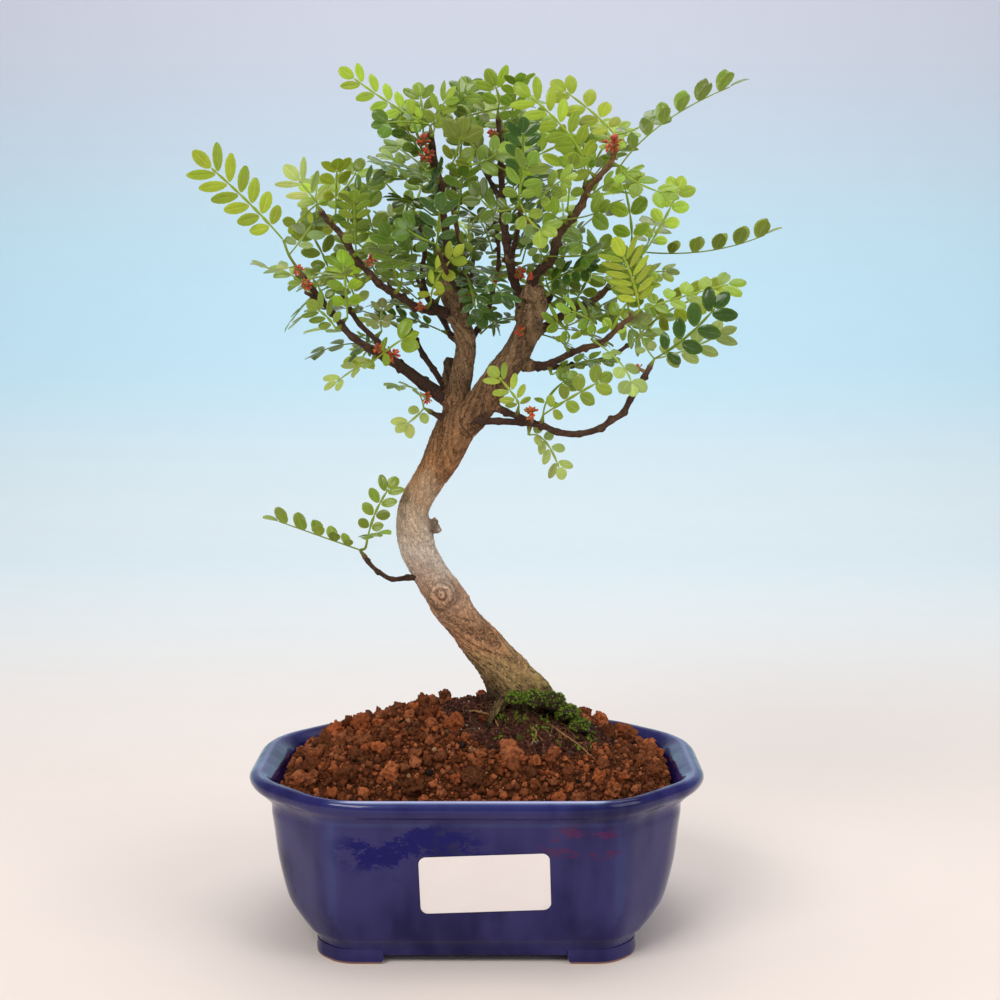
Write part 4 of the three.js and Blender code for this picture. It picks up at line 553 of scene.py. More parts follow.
def filler_rows(name, place, count, draw):
    """A spur spray that fans out of the crown's middle, with the rows of its fronds."""
    point, along = perch(name, place)[:2]
    outward = unit(add(unit(sub(point, (4, 5, 238))), mul(along, 0.4)))
    spray = start_spray(name, place, add(point, outward), [])
    rows = []
    for i in range(count):
        way = fanned(outward, -55 + (110 * (i + 0.5)) / count + 16 * (draw() - 0.5), 0.5 * draw() - 0.05)
        reach = 21 + 7 * draw()
        tip = ahead(spray["joints"][0], way, reach)
        middle = add(ahead(spray["joints"][0], way, 0.52 * reach), (0, 0, 2.2))
        tone = ("leaf", "bright", "dark", "fresh")[floor(4 * draw())]
        face = 35 - 70 * draw()
        rows.append([0, middle, tip, face, 0, 3, 7.4 + 1.2 * draw(), tone])
    return {**spray, "rows": rows}


@cache
def foliage():
    """The sprays of the solids, grown again in the same order, and the stretches of bare wood."""
    bones = []
    for low, high in zip(TRUNK_ROWS, TRUNK_ROWS[1:]):
        bones.append(Bone(spot(low[:3]), spot(high[:3]), max(low[3], high[3])))
    for name in BRANCHES:
        line, girth = branch_line(name)
        bones += [Bone(a, b, r) for a, b, r in zip(line, line[1:], girth)]
    blooms = [bloom(*row) for row in FLOWERS]
    bones += [Bone(b["centre"], b["centre"], b["radius"] + 0.5, "bloom") for b in blooms]
    plan = []
    for name, place, shoot, fronds in SPRAYS:
        rows = [[row[0], spot(row[1]), spot(row[2]), *row[3:]] for row in fronds]
        shoot = [spot(point) for point in shoot]
        plan.append({**start_spray(name, place, shoot[0] if shoot else rows[0][1], shoot), "rows": rows})
    draw = dice(90210)
    plan += [filler_rows(name, place, count, draw) for name, place, count in FILLERS]
    for k, spray in enumerate(plan):
        line = [spray["seat"], *spray["joints"]]
        bones += [Bone(a, b, SHOOT_RADIUS, k) for a, b in zip(line, line[1:])]
    grown = []
    for k, spray in enumerate(plan):
        others = [bone for bone in bones if bone.bunch != k]
        spray["fronds"] = []
        for row in spray["rows"]:
            root = spray["joints"][row[0]]
            frond = grow_frond(row, root, k, TRIES, lambda tried: is_clear(tried, others + grown, k))
            if frond:
                grown.append(frond)
                spray["fronds"].append(frond)
    return [spray for spray in plan if spray["fronds"]], bones


# Meshes

class Sheaf:
    """Closed forms for one piece, with a colour, a number and a grain coordinate at each point."""

    def __init__(self):
        self.points = []
        self.tints = []
        self.grains = []
        self.faces = []
        self.count = 0

    def add(self, points, faces, tint, grain=None):
        """Adds one closed form with its faces, index arrays, turned out. A tint of three gets 1 as fourth."""
        points = np.asarray(points, float)
        local = points - points.mean(axis=0)
        volume = 0
        for block in faces:
            for k in range(1, block.shape[1] - 1):
                corners = [local[block[:, n]] for n in (0, k, k + 1)]
                volume += np.sum(corners[0] * np.cross(corners[1], corners[2]))
        for block in faces:
            self.faces.append((block[:, ::-1] if volume < 0 else block) + self.count)
        self.points.append(points)
        tint = np.broadcast_to(np.asarray(tint, float), (len(points), np.shape(tint)[-1]))
        self.tints.append(tint if tint.shape[1] == 4 else raised(tint, 1))
        self.grains.append(np.zeros((len(points), 3)) if grain is None else grain)
        self.count += len(points)


BLANK = (0, 0, 0)


def plain_mesh(name, points, blocks):
    mesh = bpy.data.meshes.new(name)
    mesh.from_pydata(points.tolist(), [], [face for block in blocks for face in block.tolist()])
    return mesh


def linked(name, data):
    """A new object in the scene."""
    thing = bpy.data.objects.new(name, data)
    bpy.context.scene.collection.objects.link(thing)
    return thing


def make_piece(name, sheaf, material, replaced=(), sharp=40):
    """A finished piece in metres that rides on the model's one body."""
    points = (np.concatenate(sheaf.points) + SHIFT) * MILLIMETRE
    mesh = plain_mesh(name, points, sheaf.faces)
    tint = mesh.color_attributes.new("tint", "FLOAT_COLOR", "POINT")
    tint.data.foreach_set("color", np.concatenate(sheaf.tints).ravel())
    grain = mesh.attributes.new("grain", "FLOAT_VECTOR", "POINT")
    grain.data.foreach_set("vector", np.concatenate(sheaf.grains).ravel())
    mesh.shade_smooth()
    mesh.set_sharp_from_angle(angle=radians(sharp))
    mesh.materials.append(material)
    piece = linked(name, mesh)
    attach(piece, "root")
    if replaced:
        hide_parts(*replaced)
    return piece


def curved(a, b, c, d, t):
    """The place at share t from b to c on a smooth curve through four points."""
    square = (2 * a - 5 * b + 4 * c - d) * t ** 2
    return 0.5 * (2 * b + (c - a) * t + square + (3 * b - a - 3 * c + d) * t ** 3)


def smooth_line(points, values, step):
    """Points every step millimetres on a smooth curve through the given ones, with values carried along."""
    points = np.array(points, float)
    values = np.array(values, float)
    padded = np.vstack([2 * points[0] - points[1], points, 2 * points[-1] - points[-2]])
    line = []
    carried = []
    for k in range(len(points) - 1):
        count = max(1, round(np.linalg.norm(points[k + 1] - points[k]) / step))
        for t in np.arange(count) / count:
            line.append(curved(*padded[k:k + 4], t))
            carried.append(values[k] + (values[k + 1] - values[k]) * t)
    return np.array([*line, points[-1]]), np.array([*carried, values[-1]])


def bare_line(points, step):
    """The smooth curve alone."""
    return smooth_line(points, np.zeros(len(points)), step)[0]


def ring_faces(rings, sides):
    """Faces of stacked rings, closed by a fan to two centre points that follow the rings."""
    i = np.arange(sides)
    j = (i + 1) % sides
    low = np.arange(rings - 1)[:, None] * sides
    walls = np.stack([low + i, low + j, low + sides + j, low + sides + i], axis=-1).reshape(-1, 4)
    first = np.full(sides, rings * sides)
    top = (rings - 1) * sides
    ends = np.concatenate([np.stack([first, j, i], axis=1), np.stack([first + 1, top + i, top + j], axis=1)])
    return [walls, ends]


def closed(rings):
    """Points and faces of stacked rings with a point in the middle of each end."""
    ends = [ring.mean(axis=0, keepdims=True) for ring in (rings[0], rings[-1])]
    return np.vstack([*rings, *ends]), ring_faces(len(rings), len(rings[0]))


def raised(flat, z):
    """Points in plan, all at one height."""
    return np.column_stack([flat, np.full(len(flat), z)])


def frames_along(line):
    """Way, side and other side at each point of a line, with the side carried on without a twist."""
    ways = np.gradient(line, axis=0)
    ways /= np.linalg.norm(ways, axis=1)[:, None]
    side = np.array((0, -1, 0.01))
    sides = []
    for way in ways:
        side = side - way * np.dot(side, way)
        side = side / np.linalg.norm(side)
        sides.append(side)
    sides = np.array(sides)
    return ways, sides, np.cross(ways, sides)


def lengths_along(line):
    return np.concatenate([[0], np.cumsum(np.linalg.norm(np.diff(line, axis=0), axis=1))])


def add_tube(sheaf, line, radii, sides, tint, swell=None):
    """A tube with a ring at each point; swell(angles, k) scales the radius round ring k."""
    line = np.asarray(line, float)
    ways, side, other = frames_along(line)
    lengths = lengths_along(line)
    angles = np.arange(sides) * 2 * pi / sides
    rings = []
    grains = []
    for k in range(len(line)):
        radius = radii[k] * (swell(angles, k) if swell else np.ones(sides))
        x = radius * np.cos(angles)
        y = radius * np.sin(angles)
        rings.append(line[k] + np.outer(x, side[k]) + np.outer(y, other[k]))
        grains.append(np.stack([x, y, np.full(sides, lengths[k])], axis=1))
    ends = [(0, 0, lengths[0]), (0, 0, lengths[-1])]
    tint = np.asarray(tint, float)
    if tint.ndim == 2:
        tint = np.vstack([np.repeat(tint, sides, axis=0), tint[:1], tint[-1:]])
    sheaf.add(np.vstack([*rings, line[:1], line[-1:]]), ring_faces(len(line), sides), tint,
              np.vstack([*grains, ends]))


@cache
def ball(level):
    """Points and faces of a unit ball of triangles."""
    mesh = bmesh.new()
    bmesh.ops.create_icosphere(mesh, subdivisions=level, radius=1)
    points = np.array([vertex.co[:] for vertex in mesh.verts])
    faces = np.array([[vertex.index for vertex in face.verts] for face in mesh.faces])
    mesh.free()
    return points, faces


def noises(points, scale, seed=0):
    """Smooth noise between about -1 and 1 at each point."""
    placed = np.asarray(points) * scale + seed * 17.3
    return np.array([noise.noise(place) for place in placed.tolist()])


def wavy(line, amount, scale):
    """A line moved a little to and fro along its way."""
    return line + amount * np.column_stack([noises(line, scale, seed) for seed in (1, 2, 3)])


def pointing(way):
    """Rows are two sides and the way itself, so local z points along it."""
    way = np.asarray(way, float)
    side = np.cross(way, (0.31, 0.17, 0.93))
    side /= np.linalg.norm(side)
    return np.array([side, np.cross(way, side), way])


# Finishes

class Value:
    """A number on a socket. Arithmetic on it adds Math nodes."""

    def __init__(self, finish, socket):
        self.finish = finish
        self.socket = socket

    def maths(self, operation, first, second=None):
        values = {0: first} if second is None else {0: first, 1: second}
        return self.finish.node("Math", {"operation": operation}, values)

    def __add__(self, other):
        return self.maths("ADD", self, other)

    def __sub__(self, other):
        return self.maths("SUBTRACT", self, other)

    def __rsub__(self, other):
        return self.maths("SUBTRACT", other, self)

    def __mul__(self, other):
        return self.maths("MULTIPLY", self, other)

    def __pow__(self, other):
        return self.maths("POWER", self, other)

    def __abs__(self):
        return self.maths("ABSOLUTE", self)

    __radd__ = __add__
    __rmul__ = __mul__

    def sine(self):
        return self.maths("SINE", self)


class Finish:
    """A material being made."""

    def __init__(self, name):
        self.material = bpy.data.materials.new(name)
        self.material.use_nodes = True
        self.tree = self.material.node_tree
        self.tree.nodes.clear()

    def node(self, kind, settings=None, values=None, out=0):
        """Adds a shader node: its kind, its settings, then values or links by socket name or number."""
        node = self.tree.nodes.new("ShaderNode" + kind)
        for key, value in (settings or {}).items():
            setattr(node, key, value)
        for key, value in (values or {}).items():
            if isinstance(value, Value):
                self.tree.links.new(value.socket, node.inputs[key])
            else:
                node.inputs[key].default_value = value
        return Value(self, node.outputs[out]) if node.outputs else None

    def place(self):
        """The point on the piece, in metres."""
        return self.node("TexCoord", out="Object")

    def attribute(self, name, out="Vector"):
        return self.node("Attribute", {"attribute_name": name}, out=out)

    def tints(self):
        """The piece's own colour and the number carried with it."""
        return self.attribute("tint", "Color"), self.attribute("tint", "Alpha")

    def parts(self, vector):
        split = self.node("SeparateXYZ", values={0: vector})
        return [Value(self, output) for output in split.socket.node.outputs]

    def scaled(self, vector, factors):
        return self.node("VectorMath", {"operation": "MULTIPLY"}, {0: vector, 1: factors})

    def noise(self, vector, scale, detail=2, roughness=0.5):
        values = {"Vector": vector, "Scale": scale, "Detail": detail, "Roughness": roughness}
        return self.node("TexNoise", values=values)

    def cells(self, vector, scale):
        """Distance from the nearest cell centre, about 0 to 1."""
        return self.node("TexVoronoi", values={"Vector": vector, "Scale": scale})

    def edges(self, vector, scale):
        """Distance from the nearest edge between two cells."""
        settings = {"feature": "DISTANCE_TO_EDGE"}
        return self.node("TexVoronoi", settings, {"Vector": vector, "Scale": scale})

    def ramp(self, value, low, high):
        """Rises smoothly from 0 at low to 1 at high."""
        settings = {"interpolation_type": "SMOOTHSTEP"}
        return self.node("MapRange", settings, {"Value": value, "From Min": low, "From Max": high})

    def mix(self, share, first, second):
        """A mix of two colours, each a value or a plain colour."""
        first, second = (c if isinstance(c, Value) else (*c, 1) for c in (first, second))
        return self.node("Mix", {"data_type": "RGBA"}, {0: share, 6: first, 7: second}, out=2)

    def shade(self, colour, share):
        """A colour made darker or lighter."""
        return self.node("VectorMath", {"operation": "SCALE"}, {0: colour, "Scale": share})

    def bump(self, height, distance, strength=1.0):
        values = {"Height": height, "Distance": distance, "Strength": strength}
        return self.node("Bump", values=values)

    def surface(self, **values):
        """Ends the material in a Principled shader; underscores in names stand for spaces."""
        named = {key.replace("_", " "): value for key, value in values.items()}
        shader = self.node("BsdfPrincipled", values=named)
        self.node("OutputMaterial", values={"Surface": shader})
        return self.material


def glaze_finish(pot):
    f = Finish("blue glaze")
    place = f.place()
    marks, dark = f.tints()
    thin, bare, warm = f.parts(marks)
    clouds = f.noise(place, 26, 3)
    streaks = f.noise(f.scaled(place, (1, 1, 0.22)), 120, 3)
    colour = f.mix(f.ramp(clouds * 0.7 + streaks * 0.3, 0.36, 0.62), pot.deep, pot.cobalt)
    # The thin glaze colour: real thinner glaze on edges and corners, and also the painted highlights of the
    # lip and of the band under it.
    colour = f.mix(thin * f.ramp(streaks + clouds * 0.5, 0.3, 1.0), colour, pot.thin)
    # Painted highlight: the pale crest colour along the top of the lip, where the thin mark is strongest.
    colour = f.mix(f.ramp(thin, 0.45, 0.95) * 0.9, colour, pot.crest_highlight)
    blot = f.ramp(f.noise(f.scaled(place, (0.5, 1, 1.5)), 140, 5, 0.75), 0.52, 0.56) * f.ramp(warm, 0.15, 0.5)
    colour = f.mix(blot, colour, pot.blush)
    pool = f.ramp(f.noise(f.scaled(place, (0.7, 1, 1.2)), 60, 5, 0.75), 0.5, 0.54) * f.ramp(dark, 0.1, 0.5)
    colour = f.mix(pool, colour, pot.pool)
    clay = f.mix(f.noise(place, 400, 3), pot.clay, [c * 0.6 for c in pot.clay])
    colour = f.mix(bare, colour, clay)
    ripple = f.noise(place, 70, 2) * 0.6 + f.noise(place, 320, 2) * 0.12
    pits = f.ramp(f.cells(place, 210), 0.1, 0.0) * 0.05
    return f.surface(
        Base_Color=colour,
        Roughness=0.14 + bare * 0.7 + thin * 0.1 + f.noise(place, 60, 3) * 0.08,
        Coat_Weight=(1 - bare) * (1 - pool) * f.ramp(streaks + clouds, 0.6, 1.3) * 0.5,
        Coat_Roughness=0.06,
        Specular_IOR_Level=0.22,
        Normal=f.bump(ripple - pits, 0.0008, 0.5),
    )


def paper_finish():
    f = Finish("label paper")
    place = f.place()
    fibres = f.noise(f.scaled(place, (1, 1, 0.5)), 2600, 3)
    soft = f.noise(place, 60, 2)
    colour = f.mix(soft * 0.6 + fibres * 0.4, linear(243, 236, 234), linear(232, 222, 221))
    return f.surface(Base_Color=colour, Roughness=0.5 + fibres * 0.15, Specular_IOR_Level=0.35,
                     Normal=f.bump(fibres, 0.00003, 0.5))


def soil_finish():
    f = Finish("akadama and peat")
    place = f.place()
    tint, _ = f.tints()
    dust = f.ramp(f.noise(place, 900, 4, 0.7), 0.3, 0.7)
    patches = f.noise(place, 200, 3)
    # Pits: bumped down and darkened; the darkening is painted shade in the pits.
    holes = f.ramp(f.noise(place, 620, 3), 0.44, 0.34)
    shade = 0.5 + dust * 0.45 + patches * 0.45 - holes * 0.4
    return f.surface(Base_Color=f.shade(tint, shade), Roughness=0.97, Specular_IOR_Level=0.12,
                     Normal=f.bump(dust * 0.5 + f.noise(place, 2200, 2) * 0.3 - holes * 0.5, 0.0011, 1.0))


def bark_finish():
    f = Finish("pepper bark")
    grain = f.attribute("grain")
    tint, rough = f.tints()
    fibre = f.ramp(f.noise(f.scaled(grain, (1, 1, 0.4)), 0.9, 5, 0.7), 0.32, 0.68)
    fine = f.ramp(f.noise(f.scaled(grain, (1, 1, 0.6)), 2.4, 3, 0.6), 0.3, 0.7)
    blotch = f.noise(grain, 0.22, 3)
    swirl = f.node("TexNoise", values={"Vector": grain, "Scale": 0.9}, out=1)
    bent = f.scaled(grain, (1, 1, 0.45)) + swirl
    crack = f.ramp(f.edges(bent, 0.7), 0.16, 0.0) * f.ramp(fibre + blotch * 0.4, 0.45, 0.7) * rough
    flake = f.ramp(f.noise(f.scaled(grain, (1, 1, 0.6)), 0.8, 3, 0.7), 0.42, 0.62)
    dash = f.ramp(f.noise(f.scaled(grain, (0.5, 0.5, 1)), 1.5, 1), 0.63, 0.69)
    shade = 0.3 + fibre * 0.54 + fine * 0.42 + blotch * 0.3 + flake * 0.34 * rough - crack * 0.8
    colour = f.mix(dash * 0.6, f.shade(tint, shade), f.shade(tint, 1.8))
    height = fibre * 0.45 + fine * 0.3 + dash * 0.3 + flake * 0.4 * rough - crack * 0.8
    return f.surface(Base_Color=colour, Roughness=0.75 + fine * 0.2, Specular_IOR_Level=0.22,
                     Normal=f.bump(height, 0.0012, 1.0))


def mottled_finish(name, spots, least, spread, grain, **looks):
    """A finish whose colour and height both follow one noise: spots is its scale and grain its height."""
    f = Finish(name)
    mottle = f.noise(f.place(), spots, 3)
    colour = f.shade(f.tints()[0], least + mottle * spread)
    return f.surface(Base_Color=colour, Normal=f.bump(mottle, grain, looks.pop("bump")), **looks)


def moss_finish():
    return mottled_finish("moss", 700, 0.6, 0.8, 0.0003, bump=0.6, Roughness=0.85, Specular_IOR_Level=0.25)


def bud_finish():
    return mottled_finish("flower buds", 1100, 0.65, 0.7, 0.0002, bump=0.5, Roughness=0.5)


def leaf_finish(leaves):
    """grain holds the share along a blade, the share across it and its seed; tint's alpha is the gloss."""
    f = Finish("pepper leaf")
    place = f.place()
    tint, gloss = f.tints()
    along, side, seed = f.parts(f.attribute("grain"))
    spread = abs(side)
    midrib = f.ramp(spread, 0.13, 0.02)
    veins = f.ramp((along * 44 - spread * 13).sine(), 0.75, 1.0) * f.ramp(spread, 0.95, 0.6)
    mottle = f.noise(place, 330, 3)
    glands = f.ramp(f.cells(place, 1500), 0.22, 0.08)
    shade = 0.8 + mottle * 0.4 + midrib * 0.3 + veins * 0.1 + glands * 0.07
    rough = 0.5 - gloss * 0.28 + f.noise(place, 900, 2) * 0.1
    height = mottle * 0.5 - veins * 0.18 - midrib * 0.5 + f.noise(place, 1400, 2) * 0.2
    return f.surface(
        Base_Color=f.shade(tint, shade),
        Roughness=rough,
        Coat_Weight=gloss * gloss * 0.5,
        Coat_Roughness=0.1,
        Specular_IOR_Level=0.2,
        Subsurface_Weight=leaves.glow,
        Subsurface_Radius=(0.8, 1.0, 0.25),
        Subsurface_Scale=0.0012,
        Normal=f.bump(height, 0.0003, 0.7),
    )


def stage_finish(stage):
    f = Finish("pale sweep")
    place = f.place()
    _, far, high = f.parts(place)
    colour = f.mix(f.ramp(far, 0.1, 0.9), stage.floor, stage.low)
    colour = f.mix(f.ramp(high, 0.0, 0.2), colour, stage.middle)
    colour = f.mix(f.ramp(high, 0.24, 0.6), colour, stage.top)
    return f.surface(Base_Color=f.shade(colour, 0.985 + f.noise(place, 30, 4) * 0.03), Roughness=0.9)


# Pot. A section is height, half-length a, half-depth b, where the front (c) and the end (e) stop, rounding.
POT_HEIGHT = 62.2
FOOT_HEIGHT = 3
FLOOR_TOP = 9
RIM_A = 84.5
RIM_B = 61
POT_OUTSIDE = (
    (FOOT_HEIGHT, 56.5, 48.5, 47.5, 39, 6), (8.2, 58.6, 50.2, 48.6, 40, 6), (9.2, 60.2, 51.2, 49, 40, 6),
    (15, 66.3, 53.2, 49.7, 36.6, 8), (20, 69.2, 54.4, 50, 35.2, 8), (32, 72.4, 55.7, 50.3, 33.6, 8),
    (44, 73.9, 57, 50.6, 33.7, 8), (53.5, 75.2, 57.6, 50.9, 33.3, 9),
)
POT_LIP = (
    (55.6, RIM_A - 5, RIM_B - 2.2, 51.3, 30.5, 12), (57.3, RIM_A - 1.3, RIM_B - 0.6, 51.8, 29, 15),
    (59.3, RIM_A, RIM_B, 52, 28.5, 16), (61.3, RIM_A - 1.2, RIM_B - 0.7, 51.8, 28.8, 15),
    (POT_HEIGHT, RIM_A - 3.9, RIM_B - 2.6, 51, 28.8, 13), (61.2, RIM_A - 7.1, RIM_B - 5.4, 50, 28, 10),
)
POT_INSIDE = (
    (56, 73.2, 52.6, 48, 27.5, 6), (35, 68.5, 50.5, 46.5, 29, 6), (12, 58, 45, 43, 30, 6),
    (FLOOR_TOP, 54, 42, 40, 29, 6),
)
LABEL = {"width": 45.7, "height": 21.2, "corner": 2.6, "x": 3.4, "z": 32, "turn": 0.035}
DRAIN = {"radius": 6, "spacing": 50}
ARC_POINTS = 9
SIDE_POINTS = (5, 8, 5, 18, 5, 8, 5, 18)


def pot_ring(section, arc=ARC_POINTS, between=SIDE_POINTS):
    """An eight-sided ring with rounded corners, with points along its straight sides too."""
    z, a, b, c, e, rounding = section
    corners = np.array([(c, -b), (a, -e), (a, e), (c, b), (-c, b), (-a, e), (-a, -e), (-c, -b)])
    ring = []
    arcs = []
    for i, corner in enumerate(corners):
        ends = []
        for other in (corners[i - 1], corners[(i + 1) % 8]):
            reach = np.linalg.norm(other - corner)
            ends.append(corner + (other - corner) * min(rounding, 0.42 * reach) / reach)
        t = np.linspace(0, 1, arc)[:, None]
        arcs.append(ends[0] * (1 - t) ** 2 + corner * 2 * t * (1 - t) + ends[1] * t ** 2)
    for i, bend in enumerate(arcs):
        ring += bend.tolist()
        start = bend[-1]
        end = arcs[(i + 1) % 8][0]
        count = between[i]
        ring += [(start + (end - start) * (n + 1) / (count + 1)).tolist() for n in range(count)]
    return np.array([(x, y, z) for x, y in ring])


def pot_body():
    """Points and faces of the whole shell, from the underside round the lip to the floor inside."""
    bevel = ((49.2, 74.65, 57.38, 50.8, 33.5, 8), (51.4, 74.7, 57.25, 50.7, 33.3, 8))
    sections = np.array([*POT_OUTSIDE[:-1], *bevel, POT_OUTSIDE[-1], *POT_LIP, *POT_INSIDE], float)
    padded = np.vstack([sections[0], sections, sections[-1]])
    fine = []
    for k, (low, high) in enumerate(zip(sections, sections[1:])):
        count = max(3, round(abs(high[0] - low[0]) / 1.6))
        fine += [curved(*padded[k:k + 4], t) for t in np.arange(count) / count]
    return closed([pot_ring(section) for section in [*fine, sections[-1]]])


def foot(sx, sy):
    """One corner foot: the stretch of a low band between two upright cuts, flared and rounded below."""
    reach = np.array((28.5, 24))
    strip = []
    for section in ((0, 58, 49.6, 48.4, 39.6, 6), (0, 48, 40, 42, 34, 4)):
        ring = pot_ring(section, 7, (4, 12, 4, 16, 4, 12, 4, 16))[:, :2]
        kept = [p for p in ring if sx * p[0] >= reach[0] and sy * p[1] >= reach[1]]
        kept.sort(key=lambda p: atan2(sy * p[1], sx * p[0]))
        strip.append(np.array(kept))
    outline = np.vstack([strip[0], strip[1][::-1]])
    middle = outline.mean(axis=0)
    rings = []
    for z, share in ((0, 0.95), (0.35, 0.985), (1, 1), (1.8, 1), (2.6, 1), (3.6, 0.985), (5.4, 0.97)):
        flat = middle + (outline - middle) * share
        near_end = np.clip((reach + 9 - np.abs(flat)) / 9, 0, 1) ** 2
        flat = flat + np.sign(flat) * near_end * 4.2 * (1 - min(z, 4) / 4) ** 1.6
        rings.append(raised(flat, z))
    return closed(rings)


def joined(name, first, others, operation):
    """Joins or cuts closed forms, and gives the result's points and faces."""
    forms = []
    for k, (points, faces) in enumerate([first, *others]):
        sheaf = Sheaf()
        sheaf.add(points, faces, BLANK)
        forms.append(linked(f"{name}_{k}", plain_mesh(f"{name}_{k}", sheaf.points[0], sheaf.faces)))
    for other in forms[1:]:
        step = forms[0].modifiers.new(other.name, "BOOLEAN")
        step.operation = operation
        step.solver = "EXACT"
        step.object = other
    result = evaluated(forms[0])
    for form in forms:
        bpy.data.objects.remove(form)
    return result


def evaluated(form):
    """Points, faces and normals of an object once its modifiers have run."""
    mesh = form.evaluated_get(bpy.context.evaluated_depsgraph_get()).to_mesh()
    points = np.empty(len(mesh.vertices) * 3)
    mesh.vertices.foreach_get("co", points)
    normals = np.empty(len(mesh.vertices) * 3)
    mesh.vertices.foreach_get("normal", normals)
    groups = {}
    for face in mesh.polygons:
        groups.setdefault(len(face.vertices), []).append(list(face.vertices))
    return points.reshape(-1, 3), [np.array(group) for group in groups.values()], normals.reshape(-1, 3)


def drain_hole(x):
    angles = np.arange(36) * 2 * pi / 36
    ring = (x, 0) + DRAIN["radius"] * np.column_stack([np.cos(angles), np.sin(angles)])
    return closed([raised(ring, z) for z in (-1, FLOOR_TOP + 3)])


class BONSAI_OT_pot(Operator):
    """Turns the pot: an eight-sided glazed bowl with a rolled lip, four corner feet and two drain holes"""

    bl_idname = "bonsai.pot"
    bl_label = "Pot"

    def execute(self, context):
        pot = context.scene.bonsai_pot
        feet = [foot(sx, sy) for sx in (-1, 1) for sy in (-1, 1)]
        points, faces, _ = joined("pot_form", pot_body(), feet, "UNION")
        holes = [drain_hole(side * DRAIN["spacing"] / 2) for side in (-1, 1)]
        points, faces, _ = joined("pot_cut", (points, faces), holes, "DIFFERENCE")
        x, y, z = points.T
        # The lip's crest: the glaze runs thinner there, and a painted highlight line runs along its top,
        # strongest on the front and back straights; at the lip's corners it makes a paler painted sheen.
        crown = np.interp(z, (58.5, 60.2, 61.2, 61.8, 62.2), (0, 0.1, 0.25, 0.5, 1))
        outside = np.maximum(abs(x) / 76, abs(y) / 58.5)
        straight = np.clip((abs(y) - 50) / 6, 0, 1)
        thin = crown * np.clip((outside - 0.96) / 0.04, 0, 1) * (0.6 + 0.4 * straight)
        # Painted highlight: a soft pale band just under the lip on the front and back, in the thin glaze
        # colour.
        thin = np.maximum(thin, straight * np.interp(z, (52.2, 53.4, 54.6), (0, 0.4, 0)))
        corner = np.exp(-((abs(x) - 50.5) / 2.2) ** 2) * (abs(y) > 52)
        thin = np.maximum(thin, 0.35 * corner * np.interp(z, (8, 20, 53, 56), (0.2, 1, 1, 0)))
        bare = np.interp(z, (0.25, 0.7), (1, 0))
        blush = np.exp(-((x - 38) / 14) ** 2 - ((z - 47) / 6) ** 2) * (y < 0)
        dark = np.exp(-((x + 22) / 24) ** 2 - ((z - 44) / 9) ** 2) * (y < 0)
        points = points + (0.12 * noises(points, 0.045) * (z > 4) * (z < 60))[:, None]
        sheaf = Sheaf()
        sheaf.add(points, faces, np.column_stack([thin, bare, blush, dark]))
        make_piece("glazed_pot", sheaf, glaze_finish(pot), ["pot"], sharp=50)
        return {"FINISHED"}


class BONSAI_OT_label(Operator):
    """Sticks a blank paper label with round corners on the front of the pot"""

    bl_idname = "bonsai.label"
    bl_label = "Label"

    def execute(self, context):
        thick = context.scene.bonsai_pot.label_thick / MILLIMETRE
        half = np.array((LABEL["width"], LABEL["height"])) / 2 - LABEL["corner"]
        outline = []
        for k, signs in enumerate(((1, -1), (1, 1), (-1, 1), (-1, -1))):
            angles = np.radians(np.linspace(0, 90, 10) + 90 * (k - 1))
            outline.append(half * signs + LABEL["corner"] * np.column_stack([np.cos(angles), np.sin(angles)]))
        outline = np.vstack(outline)
        steps = ((0.997, 0), (1, 0.3), (1, 0.8), (0.996, 1), (0.9, 1), (0.6, 1), (0.3, 1))
        flat, faces = closed([raised(outline * share, thick * depth) for share, depth in steps])
        low, high = POT_OUTSIDE[5:7]
        slope = (high[2] - low[2]) / (high[0] - low[0])
        lean = atan(slope)
        c, s = cos(LABEL["turn"]), sin(LABEL["turn"])
        right = np.array((1, 0, 0))
        up = np.array((0, -sin(lean), cos(lean)))
        out = np.array((0, -cos(lean), -sin(lean)))
        face = (LABEL["x"], -(low[2] + slope * (LABEL["z"] - low[0])) - 0.12, LABEL["z"])
        sheaf = Sheaf()
        sheaf.add(face + flat @ (c * right + s * up, c * up - s * right, out), faces, (1, 1, 1))
        make_piece("blank_label", sheaf, paper_finish(), ["label"])
        return {"FINISHED"}


# Soil
HEAP = {"edge": 57, "rise": 25, "half_length": 74, "half_depth": 52, "power": 1.8}
ROOT_BALL = {"x": 18, "y": 1, "rise": 4, "spread": 14}
SOIL_INSET = 0.8
BIG_GRAINS = 26
SOIL_SIDES = 150
# Dry straws on the soil: points in plan and height over the heap
STRAWS = (
    ((-3, -10, 0.5), (1, -13, 1.4), (6, -16, 0.9), (8, -20, 0.4)),
    ((28, -17, 0.6), (33, -22, 1.5), (39, -26, 1.2), (43, -29, 0.3)),
    ((20, -20, 0.4), (22, -23, 1.2), (20, -28, 0.4)),
)


def pot_radius(angle, section):
    _, a, b, c, e, _ = section
    x = abs(cos(angle))
    y = abs(sin(angle))
    slant = (c * (b - e) + b * (a - c)) / ((b - e) * x + (a - c) * y)
    return min(a / max(x, 1e-9), b / max(y, 1e-9), slant)


def heap_height(x, y):
    reach = ((abs(x) / HEAP["half_length"]) ** 3 + (abs(y) / HEAP["half_depth"]) ** 3) ** (1 / 3)
    ball_share = ((x - ROOT_BALL["x"]) ** 2 + (y - ROOT_BALL["y"]) ** 2) / (2 * ROOT_BALL["spread"] ** 2)
    return (HEAP["edge"] + HEAP["rise"] * (1 - min(reach, 1) ** HEAP["power"])
            + ROOT_BALL["rise"] * exp(-ball_share))


